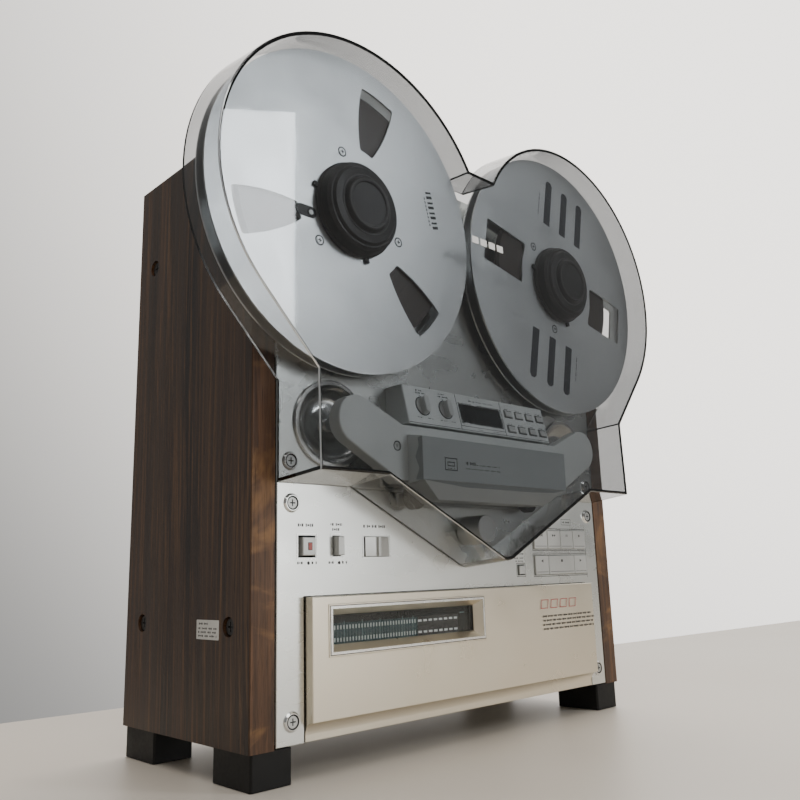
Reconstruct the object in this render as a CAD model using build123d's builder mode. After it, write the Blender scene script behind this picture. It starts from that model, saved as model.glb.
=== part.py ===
from build123d import *
from math import atan2, cos, degrees, hypot, radians, sin
import os

# Reel to reel tape deck, millimetres. Front faces -Y, +Z up, origin on the table under the middle.
# "depth" is the distance behind the face of the metal front panel; in front of it depth is negative.

# ---- driving dimensions -------------------------------------------------------------------------
COVER_FRONT = -46.83     # foremost point of the dust cover, at its lower tip
REAR_END = 194.2         # tips of the connectors on the back
PANEL_Y = (-COVER_FRONT - REAR_END) / 2

CABINET_W = 438
SIDE_T = 20.5
SIDE_INNER = CABINET_W / 2 - SIDE_T
SIDE_BOTTOM = 23.5
SIDE_TOP = 484
CABINET_D = 183
SIDE_SCREW_DEPTHS = (27, 155)
SIDE_SCREW_HEIGHTS = (103.5, 405)

FOOT_W = 32.9
FOOT_D = 47.3
FOOT_X = 216.5 - FOOT_W / 2
FOOT_DEPTHS = (1.5 + FOOT_D / 2, 180.9 - FOOT_D / 2)

PANEL_HALF = 197.5
PANEL_T = 3
PANEL_BOTTOM = 24.5
PANEL_TOP = 483
SEAM_Z = 203
SEAM_GAP = 0.8
FRONT_SCREW_X = 185
FRONT_SCREW_HEIGHTS = (39.8, 188, 218.3, 468)

SHEET = 1.5
SHELL_TOP = 481
DECK_REAR = 5
SCREW_CLEARANCE_R = 2.2

REEL_X = 136.5
REEL_Z = 421
FLANGE_R = 133.35
FLANGE_T = 1.6
FLANGE_FRONT = -17.7
FLANGE_BACK = -5.7
HUB_R = 57.15
HUB_BORE_R = 38.2
TAPE_MID = -11.7
TAPE_W = 6.3
PACK_R = {-1: 107, 1: 89}
SPINDLE_R = 4

BOWL_X = 148
BOWL_Z = 249
BOWL_HOLE_R = 31.2

CAPSTAN_X = 72
CAPSTAN_Z = 214
CAPSTAN_R = 3
FLYWHEEL_R = 38
FLYWHEEL_FRONT = 20
FLYWHEEL_REAR = 36
PINCH_R = 9.5
PINCH_TRAVEL = 4
PINCH_Z = CAPSTAN_Z - CAPSTAN_R - PINCH_R - 0.3 - PINCH_TRAVEL
PIN_R = 2

DOOR_HALF = 173.4
DOOR_FRONT = -8.5
DOOR_TOP = 122
DOOR_STEP_Z = 38
DOOR_BOTTOM = 25
DOOR_OPENING_HALF = 174.6
DOOR_OPENING_TOP = 122.6
HINGE_DEPTH = 5
HINGE_Z = 28.2
WINDOW = (-155.5, 7.5, 83, 113)      # x from, x to, z from, z to
WINDOW_BEVEL = 4.7

SUBPANEL_DEPTH = 14

KEY_LEFT = 94
KEY_RIGHT = 178.2
TOP_ROW = (155, 173.5)
BOTTOM_ROW = (131, 149.5)
KEY_GAP = 0.6
KEY_MARGIN = 0.4

POD_HALF = 91.7
POD_BOTTOM = 252
POD_TOP = 285.3
POD_BOTTOM_DEPTH = -27
POD_TOP_DEPTH = -19.1

LOBE_X = 144
LOBE_R = 19
HEAD_COVER_BACK = -15.5
HEAD_COVER_FRONT = -27
HEAD_BOX_FRONT = -41.3

COVER_WALL = 3
COVER_BACK = -0.5
COVER_R = 141.8
COVER_DRAFT = 6
COVER_FACE_DEPTH = -41.3  # at the height of the reels' centres
COVER_FACE_SLOPE = 0.02   # the face comes forward towards its lower tip


# ---- placing helpers ----------------------------------------------------------------------------
def y_at(depth):
    """Y of a plane that lies `depth` behind the front panel's face."""
    return PANEL_Y + depth


def front_plane(depth):
    """Plane seen from the front (X right, Z up) whose normal points to the viewer."""
    return Plane.XZ.offset(-y_at(depth))


def turning_plane(x, z):
    """Plane through a front-to-back axis: local X is the radius, local Y the depth."""
    return Plane(origin=(x, PANEL_Y, z), x_dir=(1, 0, 0), z_dir=(0, 0, 1))


def turning_axis(x, z):
    """Front-to-back axis through (x, z)."""
    return Axis((x, PANEL_Y, z), (0, 1, 0))


def side_plane(x):
    """Plane seen from the right: local X runs to the back, local Y up, from the panel's face."""
    return Plane(origin=(x, PANEL_Y, 0), x_dir=(0, 1, 0), z_dir=(1, 0, 0))


def block(x_span, z_span, depth_span, mode=Mode.ADD):
    """Box between two values of x, of z and of depth, in the part that is being built."""
    (x0, x1), (z0, z1), (d0, d1) = sorted(x_span), z_span, depth_span
    with Locations(((x0 + x1) / 2, y_at((d0 + d1) / 2), (z0 + z1) / 2)):
        Box(x1 - x0, d1 - d0, z1 - z0, mode=mode)


def rod(x, z, radius, depth_span, mode=Mode.ADD):
    """Front-to-back cylinder, in the part that is being built."""
    front, rear = depth_span
    with Locations((x, y_at((front + rear) / 2), z)):
        Cylinder(radius, rear - front, rotation=(90, 0, 0), mode=mode)


def tube(x, z, outer, inner, depth_span):
    """Front-to-back tube, in the part that is being built."""
    rod(x, z, outer, depth_span)
    rod(x, z, inner, depth_span, mode=Mode.SUBTRACT)


def finish(builder, name):
    """Label a finished piece and write it."""
    builder.part.label = name
    export_step(builder.part, f"parts/{name}.step")


def side_name(side):
    """Left is -X, as seen from the front."""
    return "left" if side < 0 else "right"


# ---- cabinet ------------------------------------------------------------------------------------
def make_wood_side(side):
    """Veneered side with four counterbored screw holes."""
    outer = side * CABINET_W / 2
    with BuildPart() as wood_side:
        block((side * SIDE_INNER, outer), (SIDE_BOTTOM, SIDE_TOP), (0, CABINET_D))
        chamfer(wood_side.edges().filter_by(Axis.Z), 0.8)
        for depth in SIDE_SCREW_DEPTHS:
            for z in SIDE_SCREW_HEIGHTS:
                with Locations(Plane(origin=(outer, y_at(depth), z), z_dir=(side, 0, 0))):
                    CounterBoreHole(SCREW_CLEARANCE_R, 7, 5, depth=SIDE_T)
    finish(wood_side, f"wood_side_{side_name(side)}")


def make_side_screws():
    """Eight black screws that hold the wooden sides to the chassis."""
    head_r, head_t, shank_r, shank_length = 5.6, 3, 2, 21
    with BuildPart() as side_screws:
        for side in (-1, 1):
            seat_x = side * (CABINET_W / 2 - 5)
            for depth in SIDE_SCREW_DEPTHS:
                for z in SIDE_SCREW_HEIGHTS:
                    seat = Plane(origin=(seat_x, y_at(depth), z), z_dir=(side, 0, 0))
                    with Locations(seat):
                        Cylinder(head_r, head_t, align=(Align.CENTER, Align.CENTER, Align.MIN))
                        Cylinder(shank_r, shank_length, align=(Align.CENTER, Align.CENTER, Align.MAX))
                    with Locations(seat.offset(head_t)):
                        Box(7, 1.1, 2.4, mode=Mode.SUBTRACT)
                        Box(1.1, 7, 2.4, mode=Mode.SUBTRACT)
    finish(side_screws, "side_screws")


def make_feet():
    """Four block feet under the wooden sides."""
    with BuildPart() as feet:
        for side in (-1, 1):
            for depth in FOOT_DEPTHS:
                with Locations((side * FOOT_X, y_at(depth), SIDE_BOTTOM / 2)):
                    Box(FOOT_W, FOOT_D, SIDE_BOTTOM)
        chamfer(feet.edges().filter_by(Axis.Z), 1.2)
    finish(feet, "feet")


def make_chassis_frame():
    """Folded steel frame: two side walls, the transport deck, a shelf and the lower front flanges."""
    wall = (SIDE_INNER - SHEET, SIDE_INNER)
    floor_z, shelf_z = 26.5, 172
    with BuildPart() as chassis_frame:
        for side in (-1, 1):
            block((side * wall[0], side * wall[1]), (floor_z, SHELL_TOP), (PANEL_T, 180.5))
            block((side * 179.5, side * wall[0]), (floor_z, SEAM_Z), (PANEL_T, DECK_REAR))
        block((-wall[0], wall[0]), (SEAM_Z, 479), (PANEL_T, DECK_REAR))
        block((-wall[0], wall[0]), (shelf_z, shelf_z + SHEET), (18, 170))
        for side in (-1, 1):
            rod(side * REEL_X, REEL_Z, 7, (0, 10), mode=Mode.SUBTRACT)
            rod(side * BOWL_X, BOWL_Z, BOWL_HOLE_R, (0, 10), mode=Mode.SUBTRACT)
            rod(side * CAPSTAN_X, CAPSTAN_Z, 7.2, (0, 10), mode=Mode.SUBTRACT)
            for z in FRONT_SCREW_HEIGHTS:
                rod(side * FRONT_SCREW_X, z, SCREW_CLEARANCE_R, (0, 10), mode=Mode.SUBTRACT)
            for depth in SIDE_SCREW_DEPTHS:
                for z in SIDE_SCREW_HEIGHTS:
                    with Locations((side * wall[0], y_at(depth), z)):
                        Cylinder(SCREW_CLEARANCE_R, 6, rotation=(0, 90, 0), mode=Mode.SUBTRACT)
    finish(chassis_frame, "chassis_frame")


def vent_slots(x_count, pitch, width, length):
    """Row of parallel slots, as a sketch in the current plane."""
    with GridLocations(pitch, length + 14, x_count, 2):
        SlotOverall(length, width, rotation=90)


def make_flat_cover(name, z_span):
    """Vented sheet that closes the top or the bottom."""
    edge = SIDE_INNER - 0.1
    front = PANEL_T + 0.2 if name == "top_cover" else 9
    with BuildPart() as flat_cover:
        block((-edge, edge), z_span, (front, 180.4))
        with BuildSketch(Plane.XY.offset(z_span[1])) as slots:
            with Locations((0, y_at(96))):
                vent_slots(15, 20, 4, 50)
        extrude(amount=z_span[0] - z_span[1], mode=Mode.SUBTRACT)
    finish(flat_cover, name)


def make_rear_cover():
    """Vented sheet that closes the back, with openings for the connectors."""
    edge = SIDE_INNER - 0.1
    rear = 182.5
    with BuildPart() as rear_cover:
        block((-edge, edge), (PANEL_BOTTOM, PANEL_TOP), (180.5, rear))
        with BuildSketch(front_plane(rear)):
            with Locations((0, 330)):
                vent_slots(15, 20, 4, 60)
        extrude(amount=4, mode=Mode.SUBTRACT)
        for x, z in jack_centres():
            rod(x, z, 4.3, (180, 183), mode=Mode.SUBTRACT)
        rod(REMOTE_X, JACK_Z, 8.3, (180, 183), mode=Mode.SUBTRACT)
        block((INLET_X - 11.3, INLET_X + 11.3), (INLET_Z - 9.3, INLET_Z + 9.3), (180, 183), mode=Mode.SUBTRACT)
        rod(FUSE_X, INLET_Z, 6.3, (180, 183), mode=Mode.SUBTRACT)
    finish(rear_cover, "rear_cover")


JACK_Z = 75
JACK_PITCH = 20
REMOTE_X = 60
INLET_X = 150
INLET_Z = 66
FUSE_X = 110


def jack_centres():
    """Eight phono jacks in two rows."""
    return [(-20 - JACK_PITCH * column, JACK_Z + JACK_PITCH * (row - 0.5))
            for column in range(4) for row in range(2)]


def make_rear_connectors():
    """Phono jacks, remote socket, mains inlet and fuse holder, each a piece of its own."""
    with BuildPart() as rear_connectors:
        for x, z in jack_centres():
            tube(x, z, 4.1, 1.6, (172, REAR_END))
            rod(x, z, 6, (182.5, 184.3))
            rod(x, z, 1.6, (182.5, REAR_END), mode=Mode.SUBTRACT)
        rod(REMOTE_X, JACK_Z, 8, (168, 184))
        rod(REMOTE_X, JACK_Z, 10.5, (182.5, 184))
        rod(REMOTE_X, JACK_Z, 6.2, (176, 185), mode=Mode.SUBTRACT)
        block((INLET_X - 11, INLET_X + 11), (INLET_Z - 9, INLET_Z + 9), (160, 185))
        block((INLET_X - 14, INLET_X + 14), (INLET_Z - 12, INLET_Z + 12), (182.5, 185))
        block((INLET_X - 8.5, INLET_X + 8.5), (INLET_Z - 6, INLET_Z + 6), (166, 186), mode=Mode.SUBTRACT)
        for offset in (-4, 4):
            rod(INLET_X + offset, INLET_Z, 1.2, (165, 181))
        rod(FUSE_X, INLET_Z, 6, (150, 184))
        rod(FUSE_X, INLET_Z, 8, (182.5, 188))
    finish(rear_connectors, "rear_connectors")


# ---- front panels and their screws --------------------------------------------------------------
def make_upper_front_panel():
    """Transport plate: spindle, capstan, tape guide and control holes."""
    with BuildPart() as upper_front_panel:
        block((-PANEL_HALF, PANEL_HALF), (SEAM_Z + SEAM_GAP / 2, PANEL_TOP), (0, PANEL_T))
        chamfer(upper_front_panel.faces().sort_by(Axis.Y)[0].edges(), 0.5)
        for side in (-1, 1):
            rod(side * REEL_X, REEL_Z, 6.5, (-1, 5), mode=Mode.SUBTRACT)
            rod(side * BOWL_X, BOWL_Z, BOWL_HOLE_R, (-1, 5), mode=Mode.SUBTRACT)
            rod(side * CAPSTAN_X, CAPSTAN_Z, 7.1, (-1, 5), mode=Mode.SUBTRACT)
            for z in FRONT_SCREW_HEIGHTS[2:]:
                rod(side * FRONT_SCREW_X, z, SCREW_CLEARANCE_R, (-1, 5), mode=Mode.SUBTRACT)
    finish(upper_front_panel, "upper_front_panel")


POWER_KEY = (-179.1, -163.5, 149.4, 165.2)
REEL_SIZE_KEY = (-147.7, -139.7, 150, 165.4)
CUE_SLOT = (-117, -91, 149.5, 165.1)
MONITOR_KEY = (68.6, 79, 131.6, 141.2)
PITCH_Z = 171.5


def make_lower_front_panel():
    """Lower plate: an arch over the door, with the key openings."""
    openings = [POWER_KEY, REEL_SIZE_KEY, CUE_SLOT, MONITOR_KEY,
                (KEY_LEFT, KEY_RIGHT, *TOP_ROW), (KEY_LEFT, KEY_RIGHT, *BOTTOM_ROW)]
    with BuildPart() as lower_front_panel:
        block((-PANEL_HALF, PANEL_HALF), (PANEL_BOTTOM, SEAM_Z - SEAM_GAP / 2), (0, PANEL_T))
        chamfer(lower_front_panel.faces().sort_by(Axis.Y)[0].edges(), 0.5)
        block((-DOOR_OPENING_HALF, DOOR_OPENING_HALF), (PANEL_BOTTOM - 1, DOOR_OPENING_TOP), (-1, 5),
              mode=Mode.SUBTRACT)
        for x0, x1, z0, z1 in openings:
            block((x0, x1), (z0, z1), (-1, 5), mode=Mode.SUBTRACT)
        rod(0, PITCH_Z, 3.1, (-1, 5), mode=Mode.SUBTRACT)
        for side in (-1, 1):
            for z in FRONT_SCREW_HEIGHTS[:2]:
                rod(side * FRONT_SCREW_X, z, SCREW_CLEARANCE_R, (-1, 5), mode=Mode.SUBTRACT)
    finish(lower_front_panel, "lower_front_panel")


def make_front_screws():
    """Eight cross-head screws, each in a dished washer."""
    washer_r, seat_r, head_r, washer_t = 7, 4.3, 4, 1.9
    with BuildPart() as front_screws:
        for side in (-1, 1):
            x = side * FRONT_SCREW_X
            for z in FRONT_SCREW_HEIGHTS:
                with BuildSketch(turning_plane(x, z)):
                    with BuildLine():
                        Polyline((seat_r, 0), (washer_r, 0), (washer_r - 0.4, -0.8), (5.6, -washer_t),
                                 (5.1, -washer_t), (seat_r, -0.7), close=True)
                    make_face()
                revolve(axis=turning_axis(x, z))
                rod(x, z, head_r, (-1.5, 0))
                rod(x, z, 2, (0, 12))
                block((x - 2.4, x + 2.4), (z - 0.45, z + 0.45), (-2, -0.4), mode=Mode.SUBTRACT)
                block((x - 0.45, x + 0.45), (z - 2.4, z + 2.4), (-2, -0.4), mode=Mode.SUBTRACT)
    finish(front_screws, "front_screws")


# ---- keys ---------------------------------------------------------------------------------------
def make_key(name, opening, front, gaps=(0, 0)):
    """Push key: a cap in its opening, with gaps at its sides and ends, and a stem behind the panel."""
    x0, x1, z0, z1 = opening
    cap = (x0 + gaps[0], x1 - gaps[0]), (z0 + gaps[1], z1 - gaps[1])
    with BuildPart() as key:
        block(*cap, (front, PANEL_T))
        chamfer(key.faces().sort_by(Axis.Y)[0].edges(), 0.5)
        block((x0 + 2, x1 - 2), (z0 + 2, z1 - 2), (PANEL_T, 12))
    finish(key, name)


def make_key_row(names, row, widths):
    """Keys side by side in one opening; widths are shares of the row."""
    z0, z1 = row[0] + KEY_MARGIN, row[1] - KEY_MARGIN
    span = KEY_RIGHT - KEY_LEFT - 2 * KEY_MARGIN - KEY_GAP * (len(names) - 1)
    x = KEY_LEFT + KEY_MARGIN
    for name, share in zip(names, widths):
        width = span * share / sum(widths)
        make_key(name, (x, x + width, z0, z1), front=-1.6)
        x += width + KEY_GAP


CUE_PIVOT_DEPTH = 4


def make_cue_lever():
    """Rocker with two shallow slopes that meet in a ridge; it rocks about an upright pivot."""
    x_mid = (CUE_SLOT[0] + CUE_SLOT[1]) / 2
    half, body_half = 12, 8
    profile = [(-half, -0.8), (-half, 3), (-body_half, 5), (-body_half, 10), (body_half, 10),
               (body_half, 5), (half, 3), (half, -0.8), (1.6, -2.2), (1.2, -4.2), (-1.2, -4.2), (-1.6, -2.2)]
    with BuildPart() as cue_lever:
        with BuildSketch(Plane.XY.offset(CUE_SLOT[2] + 0.4)):
            with BuildLine():
                Polyline(*[(x_mid + x, y_at(depth)) for x, depth in profile], close=True)
            make_face()
        extrude(amount=CUE_SLOT[3] - CUE_SLOT[2] - 0.8)
        for z in (CUE_SLOT[2] - 2.6, CUE_SLOT[3] - 0.4):
            with Locations((x_mid, y_at(CUE_PIVOT_DEPTH + 1.5), z)):
                Cylinder(1, 3, align=(Align.CENTER, Align.CENTER, Align.MIN))
    finish(cue_lever, "cue_lever")


# ---- door, meter and the controls behind it -----------------------------------------------------
def window_sketch(depth, grow):
    """Window rectangle grown by `grow` on every side."""
    x0, x1, z0, z1 = WINDOW
    with BuildSketch(front_plane(depth)) as sketch:
        with Locations(((x0 + x1) / 2, (z0 + z1) / 2)):
            Rectangle(x1 - x0 + 2 * grow, z1 - z0 + 2 * grow)
    return sketch.sketch


def make_door():
    """Drop-down door: a shallow pan with a bevelled window, on two pivot pegs."""
    skin = 2.5
    pan_back = 2.2
    frame_width = 3.2
    glass_seat = -1.5
    with BuildPart() as door:
        block((-DOOR_HALF, DOOR_HALF), (DOOR_STEP_Z, DOOR_TOP), (DOOR_FRONT, pan_back))
        chamfer(door.faces().sort_by(Axis.Y)[0].edges().group_by(Axis.Z)[1:], 0.6)
        block((-DOOR_HALF + skin, DOOR_HALF - skin), (DOOR_STEP_Z + skin, DOOR_TOP - skin),
              (DOOR_FRONT + skin, pan_back), mode=Mode.SUBTRACT)
        block((-DOOR_HALF, DOOR_HALF), (DOOR_BOTTOM, DOOR_STEP_Z + skin), (0, pan_back))
        cove = -DOOR_FRONT
        with BuildSketch(side_plane(-DOOR_HALF)):
            with BuildLine():
                Polyline((DOOR_FRONT, DOOR_STEP_Z), (0, DOOR_STEP_Z), (0, DOOR_STEP_Z - cove))
                ThreePointArc((0, DOOR_STEP_Z - cove), (DOOR_FRONT + cove * cos(radians(45)),
                              DOOR_STEP_Z - cove + cove * sin(radians(45))), (DOOR_FRONT, DOOR_STEP_Z))
            make_face()
        extrude(amount=2 * DOOR_HALF)
        for side in (-1, 1):
            block((side * (DOOR_HALF - 4), side * DOOR_HALF), (DOOR_BOTTOM, 33), (0, 7.4))
            with Locations((side * (DOOR_HALF + 1.2), y_at(HINGE_DEPTH), HINGE_Z)):
                Cylinder(1.5, 2.4, rotation=(0, 90, 0))
        extrude(window_sketch(glass_seat, frame_width), amount=glass_seat - DOOR_FRONT + 0.6)
        loft([window_sketch(DOOR_FRONT - 0.6, 0).face(), window_sketch(glass_seat, -WINDOW_BEVEL).face()],
             mode=Mode.SUBTRACT)
    finish(door, "door")


def make_door_window():
    """Clear pane seated behind the bevelled window."""
    x0, x1, z0, z1 = WINDOW
    with BuildPart() as door_window:
        block((x0, x1), (z0, z1), (-1.5, 0.3))
    finish(door_window, "door_window")


def make_meter_display():
    """Level display module behind the pane."""
    x0, x1, z0, z1 = WINDOW
    with BuildPart() as meter_display:
        block((x0 + 2, x1 - 2), (z0 + 2.5, z1 - 2.5), (2.2, SUBPANEL_DEPTH))
    finish(meter_display, "meter_display")


LINE_KNOB = (50, 75)
OUTPUT_KNOB = (90, 75)
JACKS = ((125, 62), (145, 62), (145, 92))


def make_control_subpanel():
    """Recessed tray behind the door, with the hinge lugs."""
    outer = 176.4
    with BuildPart() as control_subpanel:
        block((-outer, outer), (36, 125), (PANEL_T, SUBPANEL_DEPTH + 2))
        block((-DOOR_OPENING_HALF, DOOR_OPENING_HALF), (37.5, 123.5), (PANEL_T, SUBPANEL_DEPTH), mode=Mode.SUBTRACT)
        for side in (-1, 1):
            block((side * DOOR_OPENING_HALF, side * outer), (25, 36), (PANEL_T, 8.8))
            with Locations((side * outer, y_at(HINGE_DEPTH), HINGE_Z)):
                Cylinder(1.55, 8, rotation=(0, 90, 0), mode=Mode.SUBTRACT)
        for x, z in (LINE_KNOB, OUTPUT_KNOB):
            rod(x, z, 3.1, (10, 18), mode=Mode.SUBTRACT)
        for x, z in JACKS:
            rod(x, z, 5.2, (10, 18), mode=Mode.SUBTRACT)
    finish(control_subpanel, "control_subpanel")


def make_level_knob(name, centre):
    """Round level control with a grooved skirt and its shaft."""
    x, z = centre
    with BuildPart() as level_knob:
        rod(x, z, 10, (1, 13.5))
        chamfer(level_knob.faces().sort_by(Axis.Y)[0].edges(), 0.8)
        rod(x, z, 3, (13.5, 30))
        with Locations(turning_location(x, z)):
            with PolarLocations(10, 20):
                Box(1, 1, 8, mode=Mode.SUBTRACT)
        block((x - 0.5, x + 0.5), (z + 4, z + 10), (0.5, 1.6), mode=Mode.SUBTRACT)
    finish(level_knob, name)


def turning_location(x, z, depth=6):
    """Place on a front-to-back axis whose local Z runs along that axis."""
    return Plane(origin=(x, y_at(depth), z), x_dir=(1, 0, 0), z_dir=(0, -1, 0))


def make_front_jacks():
    """Three headphone and microphone sockets in the recessed tray."""
    with BuildPart() as front_jacks:
        for x, z in JACKS:
            tube(x, z, 5, 3.2, (11, 40))
            tube(x, z, 7, 5, (12, SUBPANEL_DEPTH))
            rod(x, z, 3.2, (10, 38), mode=Mode.SUBTRACT)
    finish(front_jacks, "front_jacks")


# ---- control pod --------------------------------------------------------------------------------
POD_SLOPE = (POD_TOP_DEPTH - POD_BOTTOM_DEPTH, POD_TOP - POD_BOTTOM)
POD_FACE_LENGTH = hypot(*POD_SLOPE)
POD_NORMAL = (0, -POD_SLOPE[1] / POD_FACE_LENGTH, POD_SLOPE[0] / POD_FACE_LENGTH)
POD_FACE = Plane(origin=(0, y_at(POD_BOTTOM_DEPTH), POD_BOTTOM), x_dir=(1, 0, 0), z_dir=POD_NORMAL)
POD_WINDOW = (-0.4, 16.6, 54, 17.7)        # centre x, centre up the slope, width, height
POD_KNOBS = {"speed_knob": (-72, 17), "equalizer_knob": (-45, 17)}
POD_KEY_GRID = (61.2, 15.6, 15.2, 14.4)    # centre x, centre up the slope, pitches
POD_KEY_SIZE = (9, 5)


def make_control_pod():
    """Sloping console with pockets for its window, keys and two selector knobs."""
    with BuildPart() as control_pod:
        with BuildSketch(side_plane(-POD_HALF)):
            with BuildLine():
                Polyline((0, POD_BOTTOM), (POD_BOTTOM_DEPTH, POD_BOTTOM), (POD_TOP_DEPTH, POD_TOP),
                         (0, POD_TOP), close=True)
            make_face()
        extrude(amount=2 * POD_HALF)
        fillet(control_pod.edges().filter_by(Axis.X).sort_by(Axis.Z)[-1:], 1)
        chamfer(control_pod.edges().filter_by(lambda e: abs(e.center().X) > POD_HALF - 0.1
                                              and e.center().Y < y_at(-18)), 0.8)
        with BuildSketch(POD_FACE):
            x, up, width, height = POD_WINDOW
            with Locations((x, up)):
                Rectangle(width, height)
        extrude(amount=-2, mode=Mode.SUBTRACT)
        with BuildSketch(POD_FACE):
            for centre in POD_KNOBS.values():
                with Locations(centre):
                    Circle(7.6)
        extrude(amount=-1.6, mode=Mode.SUBTRACT)
        with BuildSketch(POD_FACE):
            for centre in POD_KNOBS.values():
                with Locations(centre):
                    Circle(2.05)
            x, up, pitch_x, pitch_up = POD_KEY_GRID
            with Locations((x, up)):
                with GridLocations(pitch_x, pitch_up, 4, 2):
                    Rectangle(POD_KEY_SIZE[0] + 0.8, POD_KEY_SIZE[1] + 0.8)
        extrude(amount=-9, mode=Mode.SUBTRACT)
    finish(control_pod, "control_pod")


def make_counter_window():
    """Dark pane of the tape counter."""
    x, up, width, height = POD_WINDOW
    with BuildPart() as counter_window:
        with BuildSketch(POD_FACE.offset(-2)):
            with Locations((x, up)):
                Rectangle(width - 0.2, height - 0.2)
        extrude(amount=1.6)
    finish(counter_window, "counter_window")


def make_bar_knob(name, centre):
    """Selector: a low disc with an upright finger bar, on a short shaft."""
    with BuildPart() as bar_knob:
        with BuildSketch(POD_FACE.offset(-1.2)):
            with Locations(centre):
                Circle(7)
        extrude(amount=1.6)
        with BuildSketch(POD_FACE):
            with Locations(centre):
                SlotOverall(15, 5.6, rotation=90)
        extrude(amount=6)
        chamfer(bar_knob.faces().sort_by(Axis.Y)[0].edges(), 0.5)
        with BuildSketch(POD_FACE.offset(-8.5)):
            with Locations(centre):
                Circle(2)
        extrude(amount=7.5)
    finish(bar_knob, name)


def make_pod_keys():
    """Eight small keys in two rows, which share one moulded carrier behind the face."""
    x, up, pitch_x, pitch_up = POD_KEY_GRID
    with BuildPart() as pod_keys:
        with BuildSketch(POD_FACE.offset(-7)):
            with Locations((x, up)):
                with GridLocations(pitch_x, pitch_up, 4, 2):
                    Rectangle(*POD_KEY_SIZE)
        extrude(amount=8)
    finish(pod_keys, "pod_keys")


def make_pitch_knob():
    """Round aluminium knob below the head cover."""
    with BuildPart() as pitch_knob:
        with BuildSketch(turning_plane(0, PITCH_Z)):
            with BuildLine():
                Polyline((0, 16), (3, 16), (3, -0.6), (10.9, -0.6), (11.4, -1.2), (11.4, -23.4), (10.8, -24),
                         (9.4, -24), (9.1, -23.4), (0, -23.4), close=True)
            make_face()
        revolve(axis=turning_axis(0, PITCH_Z))
    finish(pitch_knob, "pitch_knob")


# ---- tape transport -----------------------------------------------------------------------------
BOX_BASE = (-94.5, 94.5, 204, 242.5)     # x from, x to, z from, z to where the box leaves the cover
BOX_FACE = (-92.5, 92.5, 206, 240)
CHIN = (-68, 68, 192)
COVER_SCREWS = ((-105.5, 232.6), (105.5, 232.6))


def rectangle_at(plane, spans):
    """Rectangle between two x and two second-axis values, as a sketch on `plane`."""
    x0, x1, v0, v1 = spans
    with BuildSketch(plane) as sketch:
        with Locations(((x0 + x1) / 2, (v0 + v1) / 2)):
            Rectangle(x1 - x0, v1 - v0)
    return sketch.sketch


def head_cover_outline():
    """Bow-tie outline: a lobe at each end and a waist under the control pod."""
    corners = [(LOBE_X - 8, 266.3), (99, 250), (-99, 250), (8 - LOBE_X, 266.3), (-154.5, 233.2),
               (-104, 206), (104, 206), (154.5, 233.2)]
    with BuildSketch(Plane.XY) as outline:
        with BuildLine():
            Polyline(*corners, close=True)
        make_face()
        with Locations((-LOBE_X, BOWL_Z), (LOBE_X, BOWL_Z)):
            Circle(LOBE_R)
    return outline.sketch


def make_head_cover():
    """Moulded cover over the heads: two lobes, a raised box and its sloping underside."""
    outline = head_cover_outline()
    shell = 2
    with BuildPart() as head_cover:
        with BuildSketch(front_plane(HEAD_COVER_BACK)):
            add(outline)
        extrude(amount=HEAD_COVER_BACK - HEAD_COVER_FRONT)
        chamfer(head_cover.faces().sort_by(Axis.Y)[0].edges(), 0.8)
        loft([rectangle_at(front_plane(HEAD_COVER_FRONT), BOX_BASE).face(),
              rectangle_at(front_plane(HEAD_BOX_FRONT), BOX_FACE).face()])
        chin_top = (BOX_FACE[0], BOX_FACE[1], y_at(HEAD_BOX_FRONT), y_at(-16))
        chin_bottom = (CHIN[0], CHIN[1], y_at(-33), y_at(-16))
        loft([rectangle_at(Plane.XY.offset(BOX_FACE[2] + 1), chin_top).face(),
              rectangle_at(Plane.XY.offset(CHIN[2]), chin_bottom).face()])
        with BuildSketch(front_plane(HEAD_COVER_BACK)) as hollow:
            add(outline)
            offset(amount=-shell, mode=Mode.REPLACE)
        extrude(hollow.sketch, amount=HEAD_COVER_BACK - HEAD_COVER_FRONT - shell, mode=Mode.SUBTRACT)
        block((-89, 89), (208.5, 237.5), (HEAD_BOX_FRONT + shell, -17), mode=Mode.SUBTRACT)
        block((-64, 64), (194.5, 210), (-30, HEAD_COVER_BACK), mode=Mode.SUBTRACT)
        for x, z in COVER_SCREWS:
            rod(x, z, 1.6, (HEAD_COVER_FRONT - 1, HEAD_COVER_BACK), mode=Mode.SUBTRACT)
            rod(x, z, 3.4, (HEAD_COVER_FRONT - 1, HEAD_COVER_FRONT + 0.9), mode=Mode.SUBTRACT)
    finish(head_cover, "head_cover")


def make_head_block():
    """Base casting of the heads: plate, two capstan bearings and two posts for the cover."""
    with BuildPart() as head_block:
        block((-98, 98), (206, 247), (-3, 0))
        block((-112, -98), (226, 239), (-3, 0))
        block((98, 112), (226, 239), (-3, 0))
        for side in (-1, 1):
            rod(side * CAPSTAN_X, CAPSTAN_Z, 6.9, (-5, 17))
        for x, z in COVER_SCREWS:
            rod(x, z, 4, (-24.9, 0))
        for side in (-1, 1):
            rod(side * CAPSTAN_X, CAPSTAN_Z, CAPSTAN_R + 0.05, (-6, 18), mode=Mode.SUBTRACT)
    finish(head_block, "head_block")


def make_tape_heads():
    """Six heads in two groups of three, seated on the base casting."""
    with BuildPart() as tape_heads:
        for x in (-48, -30, -12, 12, 30, 48):
            block((x - 7, x + 7), (219, 232), (-17, -3))
            block((x - 5, x + 5), (217, 219), (-16, -7))
    finish(tape_heads, "tape_heads")


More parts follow.
